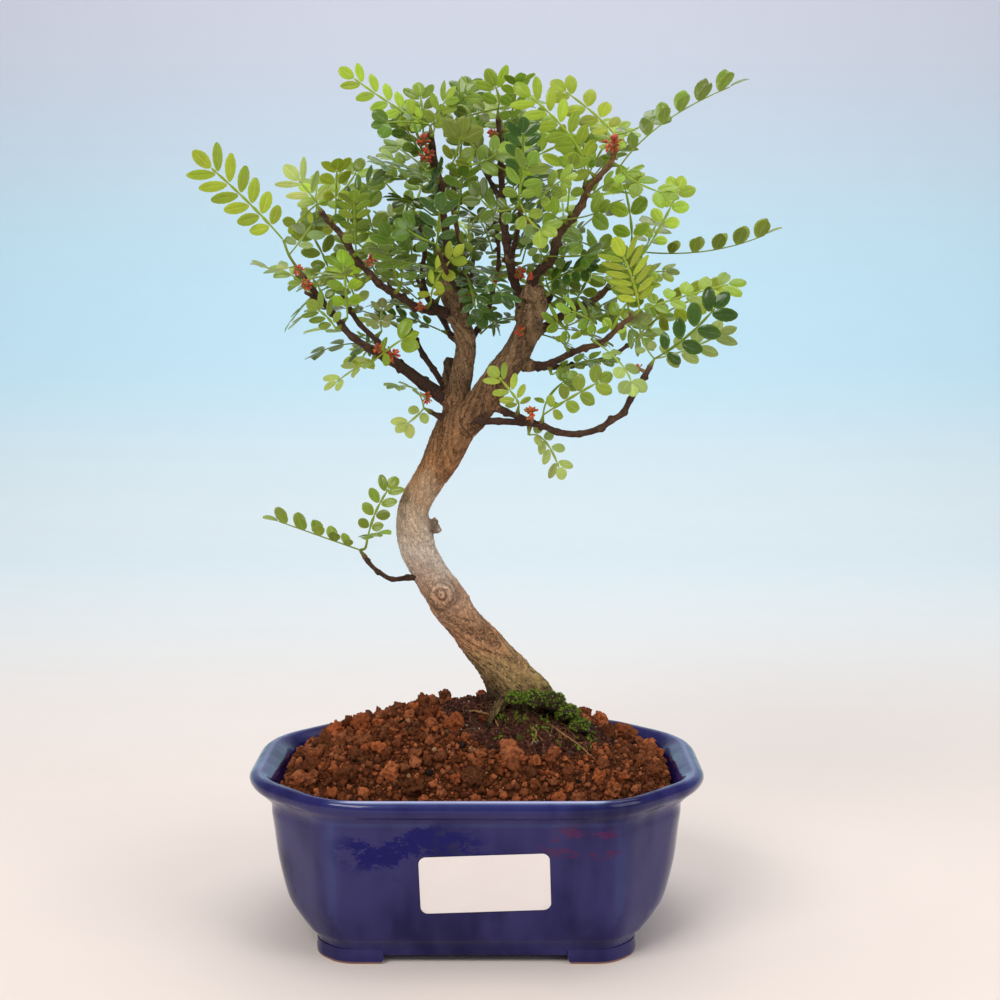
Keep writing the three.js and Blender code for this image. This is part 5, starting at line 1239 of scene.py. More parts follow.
def soil_ring(section, z, scale):
    ring = []
    for angle in np.arange(SOIL_SIDES) * 2 * pi / SOIL_SIDES:
        radius = (pot_radius(angle, section) - SOIL_INSET) * 0.985 * scale
        x = radius * cos(angle)
        y = radius * sin(angle)
        ring.append((x, y, heap_height(x, y) if z is None else z))
    return np.array(ring)


def peat_share(x, y):
    """How dark and peaty the soil is at a place: 1 at the root ball, 0 in the open akadama."""
    wobble = 5 * noise.noise((x * 0.11, y * 0.11, 3.3))
    reach = hypot((x - ROOT_BALL["x"]) / 1.15, y - ROOT_BALL["y"] + 6) + wobble
    return min(1, max(0, (30 - reach) / 9))


def on_plan(rule, points):
    """A rule of x and y, worked out at each point."""
    return np.array([rule(x, y) for x, y in points[:, :2].tolist()])


def named_grains():
    """The big grains that the soil's solid carries, from the same draws."""
    mouth = POT_INSIDE[0]
    draw = dice(4711)
    grains = []
    while len(grains) < BIG_GRAINS:
        angle = 2 * pi * draw()
        scale = sqrt(draw()) * 0.93
        radius = pot_radius(angle, mouth) * scale
        x, y, r = radius * cos(angle), radius * sin(angle), 2.2 + 2 * draw() ** 2
        for _ in range(3):
            draw()
        clear_of_trunk = hypot(x - ROOT_BALL["x"], y - ROOT_BALL["y"]) > 21
        clear_of_rim = pot_radius(angle, mouth) - radius > r + 1.5
        apart = all(hypot(g[0] - x, g[1] - y) > 0.9 * (g[2] + r) for g in grains)
        if clear_of_trunk and clear_of_rim and apart:
            grains.append((x, y, r))
    return grains


def scatter_grains(soil):
    """Grains from big to small as x, y, radius and kind, each clear of those before it."""
    mouth = POT_INSIDE[0]
    rng = np.random.RandomState(1907)
    cell = 4.0
    cells = {}
    grains = []

    def drop(x, y, r, kind, crowd):
        i, j = floor(x / cell), floor(y / cell)
        for place in ((i + m, j + n) for m in range(-2, 3) for n in range(-2, 3)):
            for other in cells.get(place, ()):
                if hypot(other[0] - x, other[1] - y) < crowd * (other[2] + r):
                    return
        grains.append((x, y, r, kind))
        cells.setdefault((i, j), []).append((x, y, r))

    for x, y, r in named_grains():
        drop(x, y, r, "akadama", 0)
    batches = (
        (soil.big_grains, 1.8, 3.7, 0.78, 0.0), (soil.middle_grains, 1.0, 1.8, 0.76, 0.3),
        (soil.small_grains, 0.5, 1.0, 0.7, 0.8), (soil.crumbs, 0.28, 0.5, 0.8, 1.0),
    )
    for tries, least, most, crowd, in_peat in batches:
        for _ in range(tries * 2):
            angle = 2 * pi * rng.rand()
            scale = sqrt(rng.rand())
            share = rng.rand()
            luck = rng.rand()
            r = least + (most - least) * share ** 2
            reach = pot_radius(angle, mouth) - SOIL_INSET - r
            x, y = reach * scale * cos(angle), reach * scale * sin(angle)
            peat = peat_share(x, y)
            if hypot(x - ROOT_BALL["x"], y - ROOT_BALL["y"]) < 9.5 or luck < peat * (1 - in_peat):
                continue
            coarse = min(1, max(0.15, (hypot(x - 8, y + 4) - 12) / 34))
            if least > 1 and rng.rand() > coarse:
                continue
            kinds = (
                (peat > 0.5 and luck > 0.955, "perlite", 0.4), (peat > 0.4, "peat", 0.95),
                (luck > 0.988, "grit", 1.5), (luck > 0.965, "tan", r), (True, "akadama", r),
            )
            kind, widest = next(rule[1:] for rule in kinds if rule[0])
            drop(x, y, min(r, widest), kind, crowd)
    return grains, rng


class BONSAI_OT_soil(Operator):
    """Heaps the soil: a bed with a dark root ball, and grains of every size scattered over it"""

    bl_idname = "bonsai.soil"
    bl_label = "Soil"

    def execute(self, context):
        soil = context.scene.bonsai_soil
        colours = {
            "akadama": soil.akadama, "peat": soil.peat, "perlite": linear(188, 176, 166),
            "grit": linear(52, 42, 40), "tan": linear(162, 118, 84),
        }
        mouth, waist, low, floor = POT_INSIDE
        rings = [soil_ring(floor, FLOOR_TOP + GAP, 1), soil_ring(low, low[0] + GAP, 1),
                 soil_ring(waist, waist[0], 1), soil_ring(mouth, mouth[0] - 1.5, 1)]
        rings += [soil_ring(mouth, None, scale) for scale in np.linspace(1, 0.02, 66)]
        points, faces = closed(rings)
        top = points[:, 2] > 56.5
        rough = 0.55 * noises(points, 0.42) + 0.5 * noises(points, 1.1, 4)
        points[:, 2] += np.where(top, rough, 0)
        peat = on_plan(peat_share, points)[:, None]
        # The bed shows between the grains; its akadama is darkened to about a third as painted shade in the
        # gaps between grains.
        base = np.array(soil.akadama) * 0.34 * (1 - peat) + np.array(soil.peat) * peat
        bed = Sheaf()
        bed.add(points, faces, base)
        fines = Sheaf()
        grains, rng = scatter_grains(soil)
        for x, y, r, kind in grains:
            level = 4 if r > 3.1 else 3 if r > 1.7 else 2 if r > 0.74 else 1
            forms, faces = ball(level)
            seed = rng.rand() * 50
            wobble = 1 + 0.6 * noises(forms, 1.2, seed)
            for least, share, scale in ((2, 0.34, 2.6), (3, 0.26, 5.5)):
                if level >= least:
                    wobble += share * noises(forms, scale, seed)
            squash = 1 - np.array((0.0, 0.2, 0.35)) * rng.rand(3)
            shape = forms * wobble[:, None] * squash @ np.array(Euler(rng.rand(3) * 6.3).to_matrix())
            sink = 0.3 if kind != "akadama" else 0.35
            centre = (x, y, heap_height(x, y) + sink * r)
            light = 0.48 + 1.4 * rng.rand() ** 1.5
            warm = 0.94 + 0.24 * rng.rand()
            tint = np.array(colours[kind]) * light * (1, warm, warm ** 2)
            (bed if r > 0.95 else fines).add(centre + shape * r, [faces], tint)
        for straw in STRAWS:
            line = wavy(bare_line([(x, y, heap_height(x, y) + lift) for x, y, lift in straw], 0.5), 0.25, 0.4)
            add_tube(fines, line, np.linspace(0.42, 0.24, len(line)), 6, linear(176, 132, 88))
        for _ in range(soil.rootlets):
            x, y = rng.uniform((-6, -24), (42, -4))
            turn, bend = rng.uniform(-3.1, 3.1, 2)
            length = rng.uniform(3, 7)
            points = []
            for share, lift in ((0, 0.4), (0.5, 0.85), (1, 0)):
                px = x + share * length * cos(turn + share * bend * 0.4)
                py = y + share * length * sin(turn + share * bend * 0.4)
                points.append((px, py, heap_height(px, py) + lift))
            if peat_share(x, y) > 0.35:
                line = bare_line(points, 0.6)
                pale = linear(168, 122, 84) * rng.uniform(0.25, 0.9)
                add_tube(fines, line, np.linspace(0.2, 0.1, len(line)), 4, pale)
        finish = soil_finish()
        make_piece("soil_bed", bed, finish, ["soil"], sharp=60)
        make_piece("soil_fines", fines, finish, sharp=60)
        return {"FINISHED"}


# Wood. The front root lies half in the soil, so it shows slimmer.
FRONT_ROOT = 1
FRONT_ROOT_SHARE = 0.66


def skin_round(sheaf, voxel, softening):
    """One smooth skin round overlapping forms: its points, faces and normals."""
    form = linked("forms", plain_mesh("forms", np.concatenate(sheaf.points), sheaf.faces))
    skin = form.modifiers.new("skin", "REMESH")
    skin.mode = "VOXEL"
    skin.voxel_size = voxel
    soften = form.modifiers.new("soften", "SMOOTH")
    soften.factor = 0.5
    soften.iterations = softening
    result = evaluated(form)
    bpy.data.objects.remove(form)
    return result


def thick_lines():
    """The trunk, its limbs and roots as fine lines with radii, for the skin and for the grain of the bark."""
    rows = [(row[3], k) for k, row in enumerate(TRUNK_ROWS)]
    line, values = smooth_line([spot(row[:3]) for row in TRUNK_ROWS], rows, 1.2)
    lines = [("trunk", line, values[:, 0], values[:, 1])]
    for name in THICK:
        lines.append((name, *smooth_line(*branch_line(name), 1.2), None))
    for k, (radii, points) in enumerate(ROOTS):
        line, values = smooth_line([spot(p) for p in points], taper(len(points), *radii), 1.2)
        lines.append((f"root_{k}", line, values * (FRONT_ROOT_SHARE if k == FRONT_ROOT else 1), None))
    return lines


def branch_feet():
    """The first stretch of each thin branch, widened into a collar where it leaves its parent."""
    feet = []
    for name in BRANCHES:
        if name not in THICK:
            line, values = smooth_line(*branch_line(name), 0.6)
            reach = 5 + 2.2 * values[0]
            lengths = lengths_along(line)
            kept = lengths < reach
            lengths = lengths[kept]
            narrowing = 1 - 0.5 * (lengths / reach) ** 2
            feet.append((line[kept], values[kept] * (1 + 0.75 * np.exp(-lengths / 3.2)) * narrowing))
    return feet


def grain_on(points, lines):
    """Coordinates that run with the wood: two round the nearest limb and one along it."""
    parts = []
    for k, (_, line, girth, _) in enumerate(lines):
        parts.append((line, *frames_along(line), lengths_along(line) + 90 * k, girth))
    centres, ways, sides, others, starts, radii = (np.concatenate(part) for part in zip(*parts))
    grain = np.empty_like(points)
    for first in range(0, len(points), 4000):
        block = points[first:first + 4000]
        gap = np.linalg.norm(block[:, None] - centres[None], axis=2) - 0.9 * radii
        nearest = gap.argmin(axis=1)
        offset = block - centres[nearest]
        u, v, along = (np.sum(offset * axes[nearest], axis=1) for axes in (sides, others, ways))
        grain[first:first + 4000] = np.column_stack([u, v, starts[nearest] + along])
    return grain


BARK_HEIGHTS = (66, 78, 86, 97, 108, 124, 140, 158, 172, 190, 215, 245)
BARK_SHADES = (
    (44, 32, 24), (66, 50, 34), (122, 98, 62), (178, 146, 100), (198, 146, 106), (214, 170, 138),
    (240, 222, 204), (206, 178, 148), (188, 136, 90), (156, 116, 82), (156, 124, 92), (164, 134, 100),
)
# Dead wood: place in the front view, reach, share and colour of its stain
OLD_STUMPS = (((-10, 209, 8), 7.5, 0.7, 78, 64, 46), ((-16, 150, -2), 3.2, 0.85, 74, 56, 46))
RELIEF_HEIGHTS = (66, 84, 98, 112, 140, 170, 200, 245)
RELIEF = (0.8, 0.8, 0.65, 0.42, 0.24, 0.22, 0.34, 0.26)


def by_height(z, heights, shades):
    shades = np.array([linear(*shade) for shade in shades])
    return np.column_stack([np.interp(z, heights, shades[:, k]) for k in range(3)])


def trunk_swell(rows):
    def swell(angles, k):
        depth = 0.075 if rows[k] < 7 else 0.03
        return 1 + depth * np.sin(5 * angles + 0.6 * rows[k]) + 0.02 * np.cos(3 * angles)

    return swell


def add_thick_wood(sheaf, wood):
    """The trunk, limbs, roots, snags, collars and the scar's round of knobs, in one skin."""
    lines = thick_lines()
    forms = Sheaf()
    for name, line, girth, rows in lines:
        lengths = lengths_along(line)
        rounding = np.sqrt(np.clip((lengths[-1] - lengths + 0.4) / (0.8 * girth[-1]), 0.3, 1))
        blunt = rounding if name in THICK else 1
        add_tube(forms, line, girth * blunt, 30, BLANK, trunk_swell(rows) if name == "trunk" else None)
    for line, girth in branch_feet():
        add_tube(forms, line, girth, 16, BLANK)
    for radii, points in SNAGS:
        line, values = smooth_line([spot(p) for p in points], taper(len(points), *radii), 0.6)
        add_tube(forms, line, values, 14, BLANK)
    centre = np.array(spot(SCAR["centre"]))
    knob, faces = ball(2)
    for k in range(24):
        angle = k * pi / 12
        ring = turned((cos(angle), 0, sin(angle)), (0, 0, 1), radians(-8))
        place = centre + SCAR["radius"] * np.array(ring)
        forms.add(place + knob * (SCAR["thick"] * (1 + 0.15 * sin(k * 2.1))), [faces], BLANK)
    points, faces, normals = skin_round(forms, wood.voxel / MILLIMETRE, 3)
    grain = grain_on(points, lines)
    paint_bark(sheaf, points, faces, normals, grain, centre)


def paint_bark(sheaf, points, faces, normals, grain, scar):
    """Moves the skin for ridges, warts and the scar's whorl, and colours it by height and place, with painted
    light on the ridges and painted shade in the troughs and the scar's hollows.
    """
    z = points[:, 2]
    relief = np.interp(z, RELIEF_HEIGHTS, RELIEF)
    ridges = 1 - 2 * np.abs(noises(grain, (0.55, 0.55, 0.24)))
    fine = noises(grain, (1.3, 1.3, 0.7), 2)
    lumps = noises(points, 0.16, 3)
    warts = np.clip(noises(grain, (0.95, 0.95, 0.55), 5) - 0.33, 0, 1)
    offset = points - scar
    reach = np.hypot(offset[:, 0], offset[:, 2])
    in_front = offset[:, 1] < 3
    swirl = np.sin(2.4 * reach + 2.2 * noises(points, 0.5, 7)) * np.exp(-(reach / 5.5) ** 2) * in_front
    rim = np.exp(-((reach - 5.6) / 0.8) ** 2) * in_front
    moved = relief * (0.7 * ridges - 0.25 + 0.5 * fine) + 0.1 * fine + 0.3 * lumps + 0.9 * warts
    moved += 0.75 * swirl - 0.4 * rim
    points = points + normals * moved[:, None]
    wobble = 7 * noises(points, 0.12, 9)
    shade = by_height(z + wobble, BARK_HEIGHTS, BARK_SHADES)
    # Painted light and shade: ridge tops lighter and troughs darker, with painted shade in the scar's sunken
    # whorl and in the groove round it.
    lit = 1.0 + 0.14 * ridges + 0.2 * fine + 0.16 * noises(points, 0.09, 11)
    lit -= 0.42 * np.clip(-2.5 * swirl, 0, 1) + 0.3 * rim
    shade = shade * np.clip(lit, 0.5, 1.5)[:, None]
    green = np.clip((102 + wobble - z) / 14, 0, 1) * np.clip(0.5 + 1.6 * noises(points, 0.4, 12), 0, 1)
    green *= np.clip(normals[:, 0] * 1.2 - 0.1, 0, 1)
    shade = stained(shade, 0.75 * green, 176, 168, 92)
    # Darker, towards a dark soil colour, near and below the soil line.
    near_soil = on_plan(heap_height, points) + 3.5 + 0.4 * wobble - z
    shade = stained(shade, np.clip(near_soil / 4, 0, 0.92) * (z < 100), 44, 30, 22)
    for place, reach, share, *colour in OLD_STUMPS:
        gap = np.linalg.norm(points - spot(place), axis=1)
        shade = stained(shade, share * np.exp(-(gap / reach) ** 4), *colour)
    patina = np.interp(z + wobble, (84, 110, 128, 165, 176), (1, 0.85, 0.35, 0.4, 0.85))
    sheaf.add(points, faces, np.column_stack([shade, patina]), grain)


YOUNG_WOOD = {"top_right": 1.0, "high_right": 0.55, "trunk_twig": 0.2, "leader": 0.2, "mid_right": 0.5}


def add_branch(sheaf, name, draw):
    """A thin branch: swollen at its nodes, with a small blunt spur at each, and a collar where it starts."""
    points, girth = branch_line(name)
    line, values = smooth_line(points, girth, 0.75)
    lengths = lengths_along(line)
    nodes = [lengths[np.linalg.norm(line - np.array(p), axis=1).argmin()] for p in points[1:]]
    turns = [2.4 * k + draw() for k in range(len(nodes))]
    collar = 0.45 * np.exp(-(lengths / 6) ** 2)
    closing = np.clip((lengths[-1] - lengths + 0.35) / 1.0, 0.35, 1) ** 0.5

    def swell(angles, k):
        total = np.full(len(angles), 1 + collar[k])
        for node, turn in zip(nodes, turns):
            gap = lengths[k] - node
            if abs(gap) < 3:
                knob = np.clip(np.cos(angles - turn), 0, 1) ** 3
                total += 0.2 * exp(-gap ** 2) + 0.75 * exp(-((gap - 0.4) / 0.75) ** 2) * knob
        return total * closing[k]

    share = (lengths / lengths[-1])[:, None]
    old = linear(98, 72, 60)
    young = linear(166, 126, 78)
    tint = old + (young - old) * YOUNG_WOOD.get(name, 0.15) * share ** 1.5
    tint = tint * (0.85 + 0.3 * noises(line, 0.25, 3))[:, None]
    bent = wavy(line, 0.22 * share, 0.3)
    slim = values * (0.82 + 0.07 * noises(line, 0.8, 5))
    add_tube(sheaf, bent, slim, 11, np.column_stack([tint, np.full(len(line), 0.4)]), swell)


class BONSAI_OT_wood(Operator):
    """Grows the trunk, limbs, surface roots and thin branches as one piece of wood"""

    bl_idname = "bonsai.wood"
    bl_label = "Wood"

    def execute(self, context):
        sheaf = Sheaf()
        add_thick_wood(sheaf, context.scene.bonsai_wood)
        draw = dice(337)
        for name in BRANCHES:
            if name not in THICK:
                add_branch(sheaf, name, draw)
        make_piece("pepper_wood", sheaf, bark_finish(), ["trunk"], sharp=75)
        return {"FINISHED"}


# Moss
MOSS_CUSHIONS = (
    (15, 84.5, -13, 4.2), (22, 84, -13, 5), (28.5, 83.5, -12, 5), (34, 79, -13, 4.6), (39, 74, -15, 4),
)


CUSHION = (1.02, 1.02, 0.72)


def lumps(ways, seed):
    """How far a cushion's skin bulges in each way out."""
    return 1 + 0.3 * noises(ways, 1.6, seed) + 0.2 * noises(ways, 4.5, seed)


def add_tuft(sheaf, seat, out, reach, tint, rng):
    """Five thin pointed leaves that fan out of one foot."""
    frame_rows = pointing(out)
    base = rng.rand() * 6.3
    for k in range(5):
        angle = base + k * 1.257
        lean = 0.35 + 0.5 * rng.rand()
        way = (frame_rows[0] * cos(angle) + frame_rows[1] * sin(angle)) * lean + frame_rows[2]
        way /= np.linalg.norm(way)
        side = np.cross(way, frame_rows[2])
        side /= np.linalg.norm(side)
        flat = np.cross(side, way)
        length = reach * (0.7 + 0.6 * rng.rand())
        points = [seat - side * 0.2 * reach, seat + side * 0.2 * reach, seat + flat * 0.15 * reach,
                  seat + way * length]
        sheaf.add(points, [np.array([[0, 1, 2], [0, 3, 1], [1, 3, 2], [2, 3, 0]])], tint)


def moss_tint(moss, rng):
    light = 0.35 + 1.2 * rng.rand() ** 1.5
    return np.array(moss) * light * (0.9 + 0.5 * rng.rand(), 1, 0.9)


class BONSAI_OT_moss(Operator):
    """Lays the moss cushions at the trunk's foot and covers them with tufts"""

    bl_idname = "bonsai.moss"
    bl_label = "Moss"

    def execute(self, context):
        rng = np.random.RandomState(77)
        moss = context.scene.bonsai_wood.moss
        sheaf = Sheaf()
        dark = linear(50, 40, 24)
        for x, z, y, r in MOSS_CUSHIONS:
            centre = np.array(spot((x, z, y)))
            forms, faces = ball(4)
            sheaf.add(centre + forms * lumps(forms, x)[:, None] * CUSHION * r * 0.86, [faces], dark)
            for _ in range(640):
                way = rng.normal(size=3)
                way /= np.linalg.norm(way)
                if way[1] > 0.5 or way[2] < -0.35 or noise.noise(tuple(way * 2.1 + x * 3.1)) < -0.12:
                    continue
                seat = centre + way * CUSHION * r * 0.84 * lumps([way], x)
                add_tuft(sheaf, seat, way, 0.8, moss_tint(moss, rng), rng)
        for _ in range(900):
            x, y = rng.uniform((6, -27), (46, -6))
            if noise.noise((x * 0.22, y * 0.22, 5.0)) < 0.14 or peat_share(x, y) < 0.3:
                continue
            seat = np.array((x, y, heap_height(x, y) + 0.5))
            add_tuft(sheaf, seat, np.array((0.0, -0.3, 0.954)), 0.95, moss_tint(moss, rng), rng)
        make_piece("moss_cushions", sheaf, moss_finish(), ["moss"], sharp=30)
        return {"FINISHED"}


# Foliage. Each tone is shares of the young, mature and pale leaf colours, the light in it and its gloss. The
# low light of the dark and deep tones is partly painted shade.
TONES = {
    "fresh": (0.75, 0.25, 0.0, 1.0, 0.5), "bright": (0.55, 0.45, 0.0, 1.0, 0.6),
    "lime": (0.85, 0.0, 0.15, 1.05, 0.4), "leaf": (0.35, 0.6, 0.05, 1.0, 0.7),
    "olive": (0.45, 0.45, 0.1, 0.8, 0.5), "dark": (0.15, 0.85, 0.0, 0.82, 0.9),
    "deep": (0.0, 1.0, 0.0, 0.66, 0.95), "gloss": (0.25, 0.7, 0.05, 0.95, 1.0),
    "pale": (0.35, 0.2, 0.45, 0.9, 0.4), "mist": (0.15, 0.35, 0.5, 0.85, 0.4),
    "milk": (0.35, 0.05, 0.6, 1.05, 0.4),
}
LEAF_STEPS = (0.04, 0.1, 0.18, 0.27, 0.36, 0.46, 0.56, 0.66, 0.76, 0.85, 0.93, 0.985)
LEAF_COLUMNS = (-1, -0.62, -0.26, 0, 0.26, 0.62, 1)
NOTCH = 0.955


@cache
def leaf_form():
    """Share along, share across and side (1 above, 0 below) of each point of a blade, and its faces."""
    places = [(0, 0, 1), (NOTCH, 0, 1)]
    upper = []
    lower = []
    for u in LEAF_STEPS:
        upper.append([len(places) + k for k in range(len(LEAF_COLUMNS))])
        places += [(u, v, 1) for v in LEAF_COLUMNS]
        lower.append([upper[-1][0], len(places), upper[-1][-1]])
        places.append((u, 0, 0))
    quads = []
    ends = []
    for rows, flip in ((upper, False), (lower, True)):
        for low, high in zip(rows, rows[1:]):
            for k in range(len(low) - 1):
                quad = [low[k], low[k + 1], high[k + 1], high[k]]
                quads.append(quad[::-1] if flip else quad)
        for k in range(len(rows[0]) - 1):
            foot_end = [0, rows[0][k + 1], rows[0][k]]
            tip_end = [1, rows[-1][k], rows[-1][k + 1]]
            ends += [foot_end[::-1], tip_end[::-1]] if flip else [foot_end, tip_end]
    places = np.array(places, float)
    u = places[:, 0]
    width = np.sin(pi * np.clip(u, 0.001, 0.999) ** 1.08) ** 0.53
    scallop = np.where(np.arange(len(LEAF_STEPS)) % 2 == 0, 1.0, 0.955)
    for row, share in zip(upper, scallop):
        width[row[0]] *= share
        width[row[-1]] *= share
    return places, width, [np.array(quads), np.array(ends)]


def add_leaflet(sheaf, leaf, tint, rng):
    places, outline, faces = leaf_form()
    u, v, above = places.T
    fold, droop, cup, twist, shift = rng.uniform(-1, 1, 5)
    width = 0.5 * leaf.width * outline
    ends = np.minimum(1, 5 * u) * np.minimum(1, 6 * (1.02 - u))
    dome = leaf.width * (0.085 + 0.03 * cup) * (1 - v * v) * ends
    lift = np.abs(v) * width * (0.12 + 0.16 * fold)
    height = dome + lift - (v == 0) * 0.1 * ends - leaf.length * (0.05 + 0.07 * droop) * u * u
    height = height - (above == 0) * (0.16 + 0.12 * ends * leaf.width / 5) * ends
    height = height + 0.22 * twist * u * v * 0.5 * leaf.width
    axis, side, normal = (np.array(part) for part in (leaf.axis, leaf.side, leaf.normal))
    swung = axis * cos(0.06 * shift) + side * sin(0.06 * shift)
    points = (np.array(leaf.base) + np.outer(u * leaf.length, swung) + np.outer(v * width, side)
              + np.outer(height, normal))
    below = (above == 0)[:, None]
    tints = np.where(below, np.array(tint) * (1.15, 1.1, 1.2, 0.2), tint)
    seed = rng.rand()
    sheaf.add(points, faces, tints, np.column_stack([u, v, np.full(len(u), seed)]))


def tone_tint(leaves, tone, rng):
    young, mature, pale, light, gloss = TONES[tone]
    colour = np.array(leaves.young) * young + np.array(leaves.mature) * mature + np.array(leaves.pale) * pale
    jitter = 1 + 0.18 * rng.uniform(-1, 1) + 0.07 * rng.uniform(-1, 1, 3)
    return (*(colour * light * jitter), gloss)


def add_rib(sheaf, frond, tint):
    """The frond's rib: a flat stalk with a narrow wing on each side between the pairs of leaflets."""
    stations = [0.02, *frond.stations, 1.0]
    rings = []
    grains = []
    angles = np.arange(8) * pi / 4
    for low, high in zip(stations, stations[1:]):
        for share in np.arange(5) / 5:
            rings.append((low + (high - low) * share, sin(pi * share) if low > 0.1 else 0.0))
    rings.append((0.995, 0.0))
    points = []
    for t, wing in rings:
        point, _, normal, side = (np.array(part) for part in frond.frame(t))
        wide = (0.34 + 0.3 * wing) * (1 - 0.25 * t)
        thick = 0.3 * (1 - 0.3 * t)
        ring = np.outer(np.cos(angles), wide * side) + np.outer(np.sin(angles), thick * normal)
        points.append(point + ring)
        grains.append(np.column_stack([np.full(8, t), np.full(8, 0.5), np.zeros(8)]))
    ends = [frond.at(0), frond.at(1)]
    grains.append([(0, 0.5, 0), (1, 0.5, 0)])
    sheaf.add(np.vstack([*points, *ends]), ring_faces(len(rings), 8), tint, np.vstack(grains))


def add_frond(sheaf, frond, leaves, rng):
    tint = tone_tint(leaves, frond.tone, rng)
    for leaf in frond.leaflets:
        if not leaf.hand:
            leaf.length *= 0.82
            leaf.width *= 0.84
        light = 1 + 0.28 * rng.uniform(-1, 1)
        own = np.array(tint) * (*(light + 0.05 * rng.uniform(-1, 1, 3)), 1)
        add_leaflet(sheaf, leaf, own, rng)
    stalk = np.array(tint[:3]) * 0.55 + np.array(leaves.young) * 0.3
    add_rib(sheaf, frond, (*stalk, 0.3))


def grown_sheaf(sprays, leaves, rng):
    """The shoots of some sprays with their fronds."""
    sheaf = Sheaf()
    for spray in sprays:
        add_shoot(sheaf, spray, leaves)
        for frond in spray["fronds"]:
            add_frond(sheaf, frond, leaves, rng)
    return sheaf


def add_shoot(sheaf, spray, leaves):
    """The shoot that carries the fronds, brown at its foot and green at its end, sunk into its branch."""
    seat = np.array(spray["seat"]) - np.array(spray["out"]) * (GAP + 0.7)
    last = max(frond.start for frond in spray["fronds"])
    line = bare_line([seat, spray["seat"], *spray["joints"][:last + 1]], 0.7)
    lengths = lengths_along(line)
    share = (lengths / lengths[-1])[:, None]
    radii = 0.6 * (1.0 + 0.8 * np.exp(-(lengths / 1.8) ** 2) - 0.3 * share[:, 0])
    brown = linear(92, 66, 46)
    green = np.array(leaves.young) * 0.5 + np.array(leaves.mature) * 0.3
    tint = brown + (green - brown) * np.clip(share * 1.3, 0, 1)
    add_tube(sheaf, line, radii, 9, np.column_stack([tint, np.full(len(line), 0.3)]))


# More fronds on short spurs fill the crown. They keep inside its outline and clear of its see-through gaps.
CROWN = {
    "middle": (2, 4, 250), "half": (78, 46, 66), "floor": 224, "right_floor": 206, "right_from": 40,
    "core_x": 4, "core_half": 24, "left_out": 0.42, "margin": 0.55,
}
FULL_CLOSENESS = 0.99


def in_crown(point):
    x, y, z = point
    low = CROWN["right_floor"] if x > CROWN["right_from"] else CROWN["floor"]
    reach = sum(((a - m) / h) ** 2 for a, m, h in zip(point, CROWN["middle"], CROWN["half"]))
    return z > low and reach < 1


SHOWN = ("left_leader", "leader", "top_right", "high_left", "low_left", "right_limb", "left_stem")


@cache
def shown_wood():
    """Points along the branches that stay in sight from the front."""
    return np.concatenate([smooth_line(*branch_line(name), 2)[0] for name in SHOWN])


def hides_wood(frond):
    """Whether most of a frond would hang in front of a branch that stays in sight."""
    wood = shown_wood()
    hidden = 0
    for leaf in frond.leaflets:
        gap = np.hypot(wood[:, 0] - leaf.centre[0], wood[:, 2] - leaf.centre[2])
        hidden += bool(np.any((gap < 3.4) & (wood[:, 1] > leaf.centre[1])))
    return hidden > 1


def spur_rows(point, outward, count, draw):
    rows = []
    for i in range(count):
        way = fanned(outward, -60 + 120 * (i + 0.5) / count + 24 * (draw() - 0.5), 0.9 * draw() - 0.35)
        pairs = 3 + floor(3 * draw())
        leaflet = 6.2 + 1.8 * draw()
        reach = (pairs + 0.6) * (3.6 + 1.2 * draw())
        tip = add(point, mul(way, reach))
        middle = add(add(point, mul(way, 0.52 * reach)), (0, 0, 0.08 * reach))
        # Darker tones in the crown's core and at its back: painted shade inside the crown.
        if abs(point[0] - 2) < 24 and point[2] < 285:
            shades = ("leaf", "dark", "gloss", "deep", "dark")
        elif point[1] > 6:
            shades = ("leaf", "dark", "gloss", "olive")
        else:
            shades = ("bright", "leaf", "leaf", "fresh", "gloss")
        tone = shades[floor(len(shades) * draw())]
        rows.append([0, middle, tip, 55 - 70 * draw(), 22 * (draw() - 0.4), pairs, leaflet, tone])
    return rows


